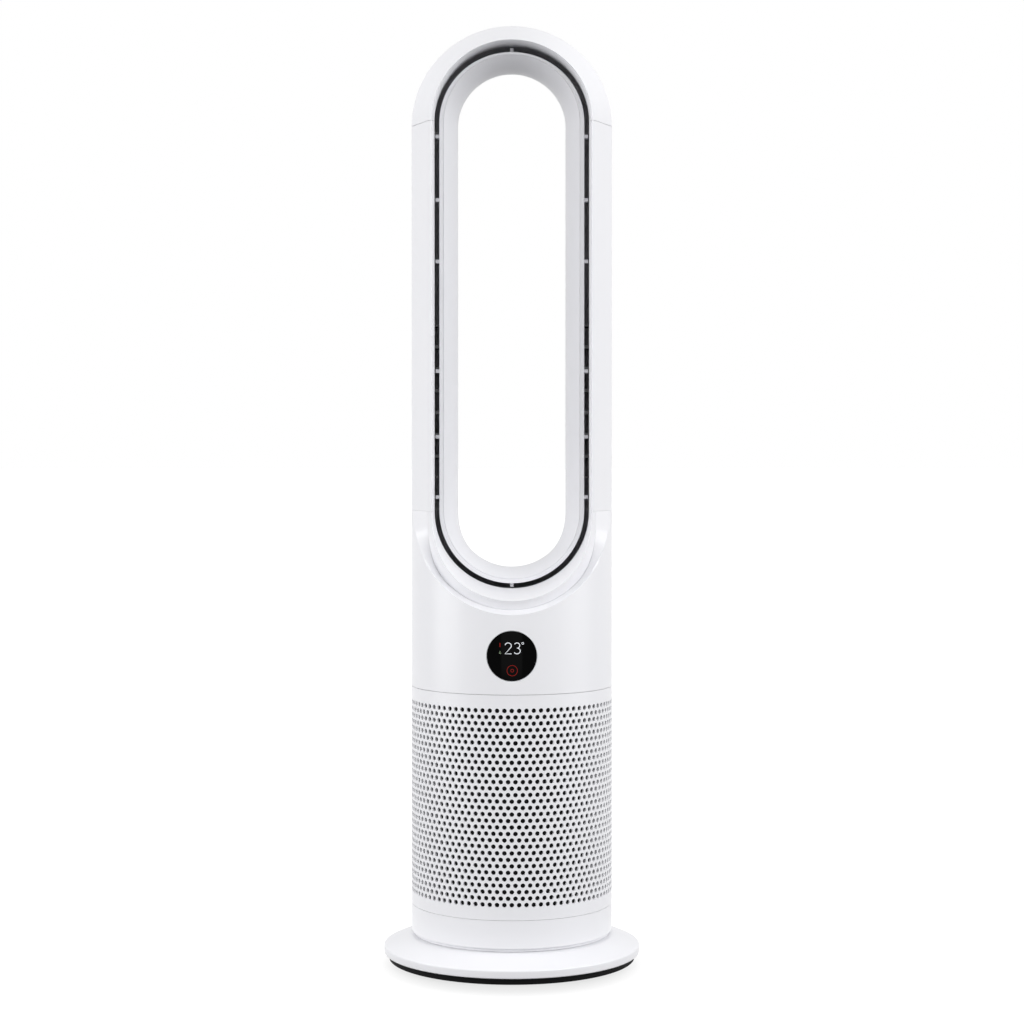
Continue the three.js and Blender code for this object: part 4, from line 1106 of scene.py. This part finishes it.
class FAN_OT_display(FanOperator):
    """Make the round black display with its bright edge and its lit signs."""

    bl_idname = "tower_fan.display"
    bl_label = "Display"

    def execute(self, context):
        s, radius = self.fan.display, self.fan.column.radius
        lens = self.disc(s.lens_radius, 24)
        bmesh.ops.solidify(lens, geom=lens.faces[:], thickness=s.lens)
        self.wrap(lens, radius, s.height)
        round_edges(lens, s.edge_round, sharp=LENS_SHARP)
        piece("lens", lens, "black_glass", "column", "display_lens")
        inner = s.lens_radius + SEAM / 3
        edge = tube(inner, inner + s.bezel, -s.bezel_depth, 0.0)
        rotate(edge, UPRIGHT)
        self.wrap(edge, radius, s.height)
        round_edges(edge, s.edge_round, sharp=LENS_SHARP)
        piece("bright_edge", edge, "bezel_metal", "column", "display_bezel")
        self.signs(s, radius)
        return {"FINISHED"}

    def disc(self, radius, rings):
        """A flat disc in the XZ plane, facing the front, cut into rings."""
        bm = bmesh.new()
        bmesh.ops.create_circle(bm, cap_ends=True, segments=96, radius=radius)
        for _ in range(rings - 1):
            middle = max(bm.faces, key=lambda face: len(face.verts))
            bmesh.ops.inset_individual(bm, faces=[middle], thickness=radius / rings)
        rotate(bm, UPRIGHT)
        return bm

    def wrap(self, bm, radius, height, lift=0.0):
        """Lays flat work onto the column's front."""
        for corner in bm.verts:
            x, depth, z = corner.co
            corner.co = (x, depth - lift - math.sqrt(radius**2 - x**2), z + height)

    def signs(self, s, radius):
        """Generic lit signs: a temperature, two small marks and a power ring.

        Digits are drawn in shares of one digit's width and height, the rest in metres.
        """
        wide, tall, low, fine = s.digit_width, s.digit_height, s.digit_bottom, 0.7 * s.stroke
        two = arc(0.5, 0.73, 0.48, 0.27, 165, -32) + [(0.02, 0.0), (1.0, 0.0)]
        three = arc(0.45, 0.76, 0.42, 0.24, 150, -90) + arc(0.45, 0.26, 0.5, 0.26, 90, -150)
        starts = (s.digit_left, s.digit_left + s.digit_pitch)
        digits = [
            [(start + x * wide, low + z * tall) for x, z in digit]
            for start, digit in zip(starts, (two, three))
        ]
        after, head = s.digit_left + 1.95 * s.digit_pitch, low + 0.95 * tall
        degree = arc(after, head, s.degree_radius, s.degree_radius, 0, 337)
        ring = arc(s.ring_aside, s.ring_height, s.ring_radius, s.ring_radius, 0, 352, 45)
        core = arc(s.ring_aside, s.ring_height, s.ring_core, s.ring_core, 0, 315, 8)
        side = s.digit_left - s.mark_gap
        warm = [(side, low + 0.62 * tall), (side, low + 0.98 * tall)]
        leaf = [(side - 0.0007, low + 0.05 * tall), (side + 0.001, low), (side, low + 0.26 * tall)]
        for name, runs, closed, width, slot in (
            ("lit_temperature", digits, False, s.stroke, "lit_digits"),
            ("lit_degree", [degree], True, fine, "lit_digits"),
            ("lit_power", [ring, core], True, fine, "lit_warm"),
            ("lit_heat", [warm], False, s.stroke, "lit_warm"),
            ("lit_leaf", [leaf], True, fine, "lit_fresh"),
        ):
            bm = self.strokes(runs, closed, width)
            bmesh.ops.scale(bm, vec=(1.0, s.ink / width, 1.0), verts=bm.verts)
            self.wrap(bm, radius, s.height, s.ink / 2)
            piece(name, bm, slot, "column", weighted=False)

    def strokes(self, runs, closed, width):
        """Strokes of a width along runs of (x, z) points in the XZ plane."""
        curve = bpy.data.curves.new("strokes", "CURVE")
        curve.dimensions = "3D"
        curve.bevel_depth = width / 2
        curve.bevel_resolution = 1
        curve.use_fill_caps = True
        for points in runs:
            spline = curve.splines.new("POLY")
            spline.points.add(len(points) - 1)
            for point, (x, z) in zip(spline.points, points):
                point.co = (x, 0.0, z, 1.0)
            spline.use_cyclic_u = closed
        holder = placed("strokes", curve)
        bpy.context.view_layer.update()
        graph = bpy.context.evaluated_depsgraph_get()
        mesh = bpy.data.meshes.new_from_object(holder.evaluated_get(graph))
        bm = bmesh.new()
        bm.from_mesh(mesh)
        bpy.data.curves.remove(curve)
        bpy.data.meshes.remove(mesh)
        return bm


# Air loop


class FAN_OT_shells(FanOperator):
    """Make the loop's front and rear shells: a top arch and two arms each."""

    bl_idname = "tower_fan.shells"
    bl_label = "Loop Shells"

    def execute(self, context):
        s = self.fan.loop
        lines = LoopLines(s)
        ends = (s.bottom_centre + SEAM / 3, s.top_centre - SEAM)
        for name, section in (("front", lines.front_shell), ("rear", lines.rear_shell)):
            self.finish(top_arc(section, s), s, f"{name}_arch", f"{name}_shell_top")
            for angle, side in ((0.0, "right"), (math.pi, "left")):
                arm = [station_points(section, angle, z) for z in ends]
                self.finish(arm, s, f"{name}_arm_{side}", f"{name}_shell_{side}")
        return {"FINISHED"}

    def finish(self, rings, s, name, replaced):
        """Rounds a shell's long edges well and the edges of its ends a little."""
        bm = loft(rings)
        at_end = at_levels(s.bottom_centre + SEAM / 3, s.top_centre - SEAM, s.top_centre)
        round_edges(bm, s.edge_round, 4, lambda edge: not at_end(edge))
        round_edges(bm, 0.6 * s.seam_round, 2, at_end)
        piece(name, bm, "white_plastic", "column", replaced)


class FAN_OT_lower_trim(FanOperator):
    """Make the lower bezel and the lower rear shell, which close the loop over the housing."""

    bl_idname = "tower_fan.lower_trim"
    bl_label = "Lower Trim"

    def execute(self, context):
        s = self.fan.loop
        lines = LoopLines(s)
        for replaced, section, name in (
            ("lower_bezel", lines.lower_bezel, "low_bezel"),
            ("rear_lower_shell", lines.rear_lower_shell, "low_rear_shell"),
        ):
            bm = loft(low_arc(section, s))
            round_edges(bm, 0.2 * s.edge_round, 2)
            piece(name, bm, "white_plastic", "column", replaced)
        return {"FINISHED"}


SPACER_HEIGHTS = (0.8015, 0.7400, 0.6805, 0.5740, 0.5103, 0.4518)  # of those in the arms


class FAN_OT_throat(FanOperator):
    """Make the loop's inner wall and the slot's rim with its spacers."""

    bl_idname = "tower_fan.throat"
    bl_label = "Throat"

    def execute(self, context):
        s = self.fan.loop
        lines = LoopLines(s)
        for section, width, slot_ribs, name, replaced in (
            (lines.throat_ring, s.wall_round, False, "inner_wall", "throat_ring"),
            (lines.slot_rim, s.rim_round, True, "rim", "slot_rim"),
        ):
            bm = loft(top_arc(section, s) + low_arc(section, s), closed=True)
            round_edges(bm, width, sharp=CURVED_SHARP)
            if slot_ribs:
                self.spacers(bm, s, lines)
            piece(name, bm, "white_plastic", "column", replaced)
        return {"FINISHED"}

    def spacers(self, bm, s, lines):
        """Small ribs that hold the slot's width."""
        places = [
            (math.pi / 2, s.top_centre, 2.2 * s.spacer_recess),
            (-math.pi / 2, s.bottom_centre, 1.6 * s.spacer_recess),
        ]
        places += [(angle, z, s.spacer_recess) for z in SPACER_HEIGHTS for angle in (0.0, math.pi)]
        for angle, z, recess in places:
            inner = lines.rim(angle) - s.spacer_root
            span = s.slot_radius - SEAM - inner
            depth = s.spacer_depth - recess
            middle = (inner + span / 2, recess + depth / 2 - s.rim_depth, 0.0)
            turned = Matrix.Translation((0.0, 0.0, z)) @ Matrix.Rotation(-angle, 4, "Y")
            box = Matrix.Translation(middle) @ Matrix.Diagonal((span, depth, s.spacer, 1.0))
            corners = bmesh.ops.create_cube(bm, size=1.0, matrix=turned @ box)["verts"]
            edges = {edge for corner in corners for edge in corner.link_edges}
            bevel(bm, list(edges), s.spacer_round, 2)


# Camera and stage


class FAN_OT_camera(FanOperator):
    """Set the camera at the picture's viewing angle."""

    bl_idname = "tower_fan.camera"
    bl_label = "Camera"

    def execute(self, context):
        s = self.fan.stage
        camera = bpy.data.cameras.new("camera")
        camera.sensor_width = s.sensor
        camera.lens = s.lens
        camera.shift_y = s.shift
        holder = placed("camera", camera)
        holder.location = (s.camera_aside, -s.camera_distance, s.camera_height)
        holder.rotation_euler = (math.pi / 2 - s.pitch, 0.0, 0.0)
        context.scene.camera = holder
        return {"FINISHED"}


# A softbox's name, place, width and power in watts.
SOFTBOXES = (
    ("left_softbox", (-2.2, -0.5, 0.8), 1.5, 25.8),
    ("right_softbox", (2.2, -0.5, 0.8), 1.5, 15.2),
    ("high_softbox", (1.8, -0.8, 2.2), 1.5, 12.0),
    ("front_softbox", (0.0, -2.9, 0.6), 1.2, 6.2),
    ("front_left_softbox", (-1.7, -2.0, 1.0), 1.2, 5.4),
    ("front_right_softbox", (1.7, -2.0, 1.0), 1.2, 8.6),
    ("high_left_softbox", (-1.7, -2.0, 1.7), 1.2, 9.7),
    ("high_right_softbox", (1.7, -2.0, 1.7), 1.2, 14.6),
)


class FAN_OT_stage(FanOperator):
    """Make the pale floor, the white surroundings and the soft lamps."""

    bl_idname = "tower_fan.stage"
    bl_label = "Stage"

    def execute(self, context):
        self.floor()
        self.world(context.scene)
        for name, place, width, power in SOFTBOXES:
            self.lamp(name, place, width, power * self.fan.stage.lamps)
        context.scene.view_settings.view_transform = "Standard"
        return {"FINISHED"}

    def floor(self):
        bm = bmesh.new()
        bmesh.ops.create_grid(bm, x_segments=1, y_segments=1, size=60.0)
        made = placed("floor", mesh_of(bm, "floor"))
        made.data.materials.append(self.floor_material())

    def floor_material(self):
        """A white floor that keeps the real, faint shadow: it glows for the camera, and glows less
        near the foot, a painted shadow in front of the base.
        """
        material = new_material("floor_white")
        tree = material.node_tree
        principled = tree.nodes["Principled BSDF"].inputs
        principled["Base Color"].default_value = (0.12, 0.12, 0.12, 1.0)
        principled["Roughness"].default_value = 0.9
        principled["Specular IOR Level"].default_value = 0.1
        principled["Emission Color"].default_value = (1.0, 1.0, 1.0, 1.0)
        place = node(tree, "ShaderNodeTexCoord").outputs["Object"]
        # painted shadow: its centre lies 45 mm in front of the column's axis
        painted_shadow_centre = node(tree, "ShaderNodeMapping", {"Vector": place, "Location": (0.0, 0.045, 0.0)})
        away = node(tree, "ShaderNodeVectorMath", {0: painted_shadow_centre.outputs[0]}, operation="LENGTH")
        # painted shadow: the glow is 0.68 within 88 mm of that centre and rises to full white at
        # 150 mm
        painted_shadow_reach = {"From Min": 0.088, "From Max": 0.15, "To Min": 0.68, "To Max": 1.0}
        painted_shadow_reach["Value"] = away.outputs["Value"]
        level = node(tree, "ShaderNodeMapRange", painted_shadow_reach, interpolation_type="SMOOTHSTEP")
        glow = maths(tree, "MULTIPLY", seen_ray(tree), level.outputs["Result"])
        tree.links.new(glow, principled["Emission Strength"])
        return material

    def world(self, scene):
        """White for the camera and in reflections, and a plain level of light elsewhere."""
        world = bpy.data.worlds.new("studio")
        world.use_nodes = True
        tree = world.node_tree
        background = tree.nodes["Background"].inputs
        background["Color"].default_value = (1.0, 1.0, 1.0, 1.0)
        sky = self.fan.stage.sky
        level = maths(tree, "MULTIPLY_ADD", seen_ray(tree), 1.0 - sky, sky)
        tree.links.new(level, background["Strength"])
        scene.world = world

    def lamp(self, name, place, width, power):
        light = bpy.data.lights.new(name, "AREA")
        light.shape = "SQUARE"
        light.size = width
        light.energy = power
        holder = placed(name, light)
        aim = Vector((0.0, 0.0, self.fan.stage.aim_height)) - Vector(place)
        holder.location = place
        holder.rotation_euler = aim.to_track_quat("-Z", "Y").to_euler()


def seen_ray(tree):
    """1 for rays from the camera, mirrors and glass, and 0 for the light on a surface."""
    path = node(tree, "ShaderNodeLightPath").outputs
    either = maths(tree, "MAXIMUM", path["Is Camera Ray"], path["Is Glossy Ray"])
    return maths(tree, "MAXIMUM", either, path["Is Transmission Ray"])


# Panel and registration

OPERATORS = (
    FAN_OT_camera,
    FAN_OT_materials,
    FAN_OT_base,
    FAN_OT_turning_ring,
    FAN_OT_intake,
    FAN_OT_housing,
    FAN_OT_display,
    FAN_OT_shells,
    FAN_OT_lower_trim,
    FAN_OT_throat,
    FAN_OT_stage,
)


class FAN_PT_panel(bpy.types.Panel):
    """Lists the steps that build the fan."""

    bl_idname = "FAN_PT_panel"
    bl_label = "Tower Fan"
    bl_space_type = "VIEW_3D"
    bl_region_type = "UI"
    bl_category = "Tower Fan"

    def draw(self, context):
        for operator in OPERATORS:
            self.layout.operator(operator.bl_idname)


GROUPS = (
    FanBaseSizes,
    FanColumnSizes,
    FanIntakeSizes,
    FanDisplaySizes,
    FanLoopSizes,
    FanColours,
    FanStageSettings,
    TowerFan,
)


def register():
    for kind in (*GROUPS, *OPERATORS, FAN_PT_panel):
        bpy.utils.register_class(kind)
    bpy.types.Scene.tower_fan = PointerProperty(type=TowerFan)


def unregister():
    del bpy.types.Scene.tower_fan
    for kind in reversed((*GROUPS, *OPERATORS, FAN_PT_panel)):
        bpy.utils.unregister_class(kind)


def main():
    register()
    for operator in OPERATORS:
        family, step = operator.bl_idname.split(".")
        getattr(getattr(bpy.ops, family), step)()


if __name__ == "__main__":
    main()
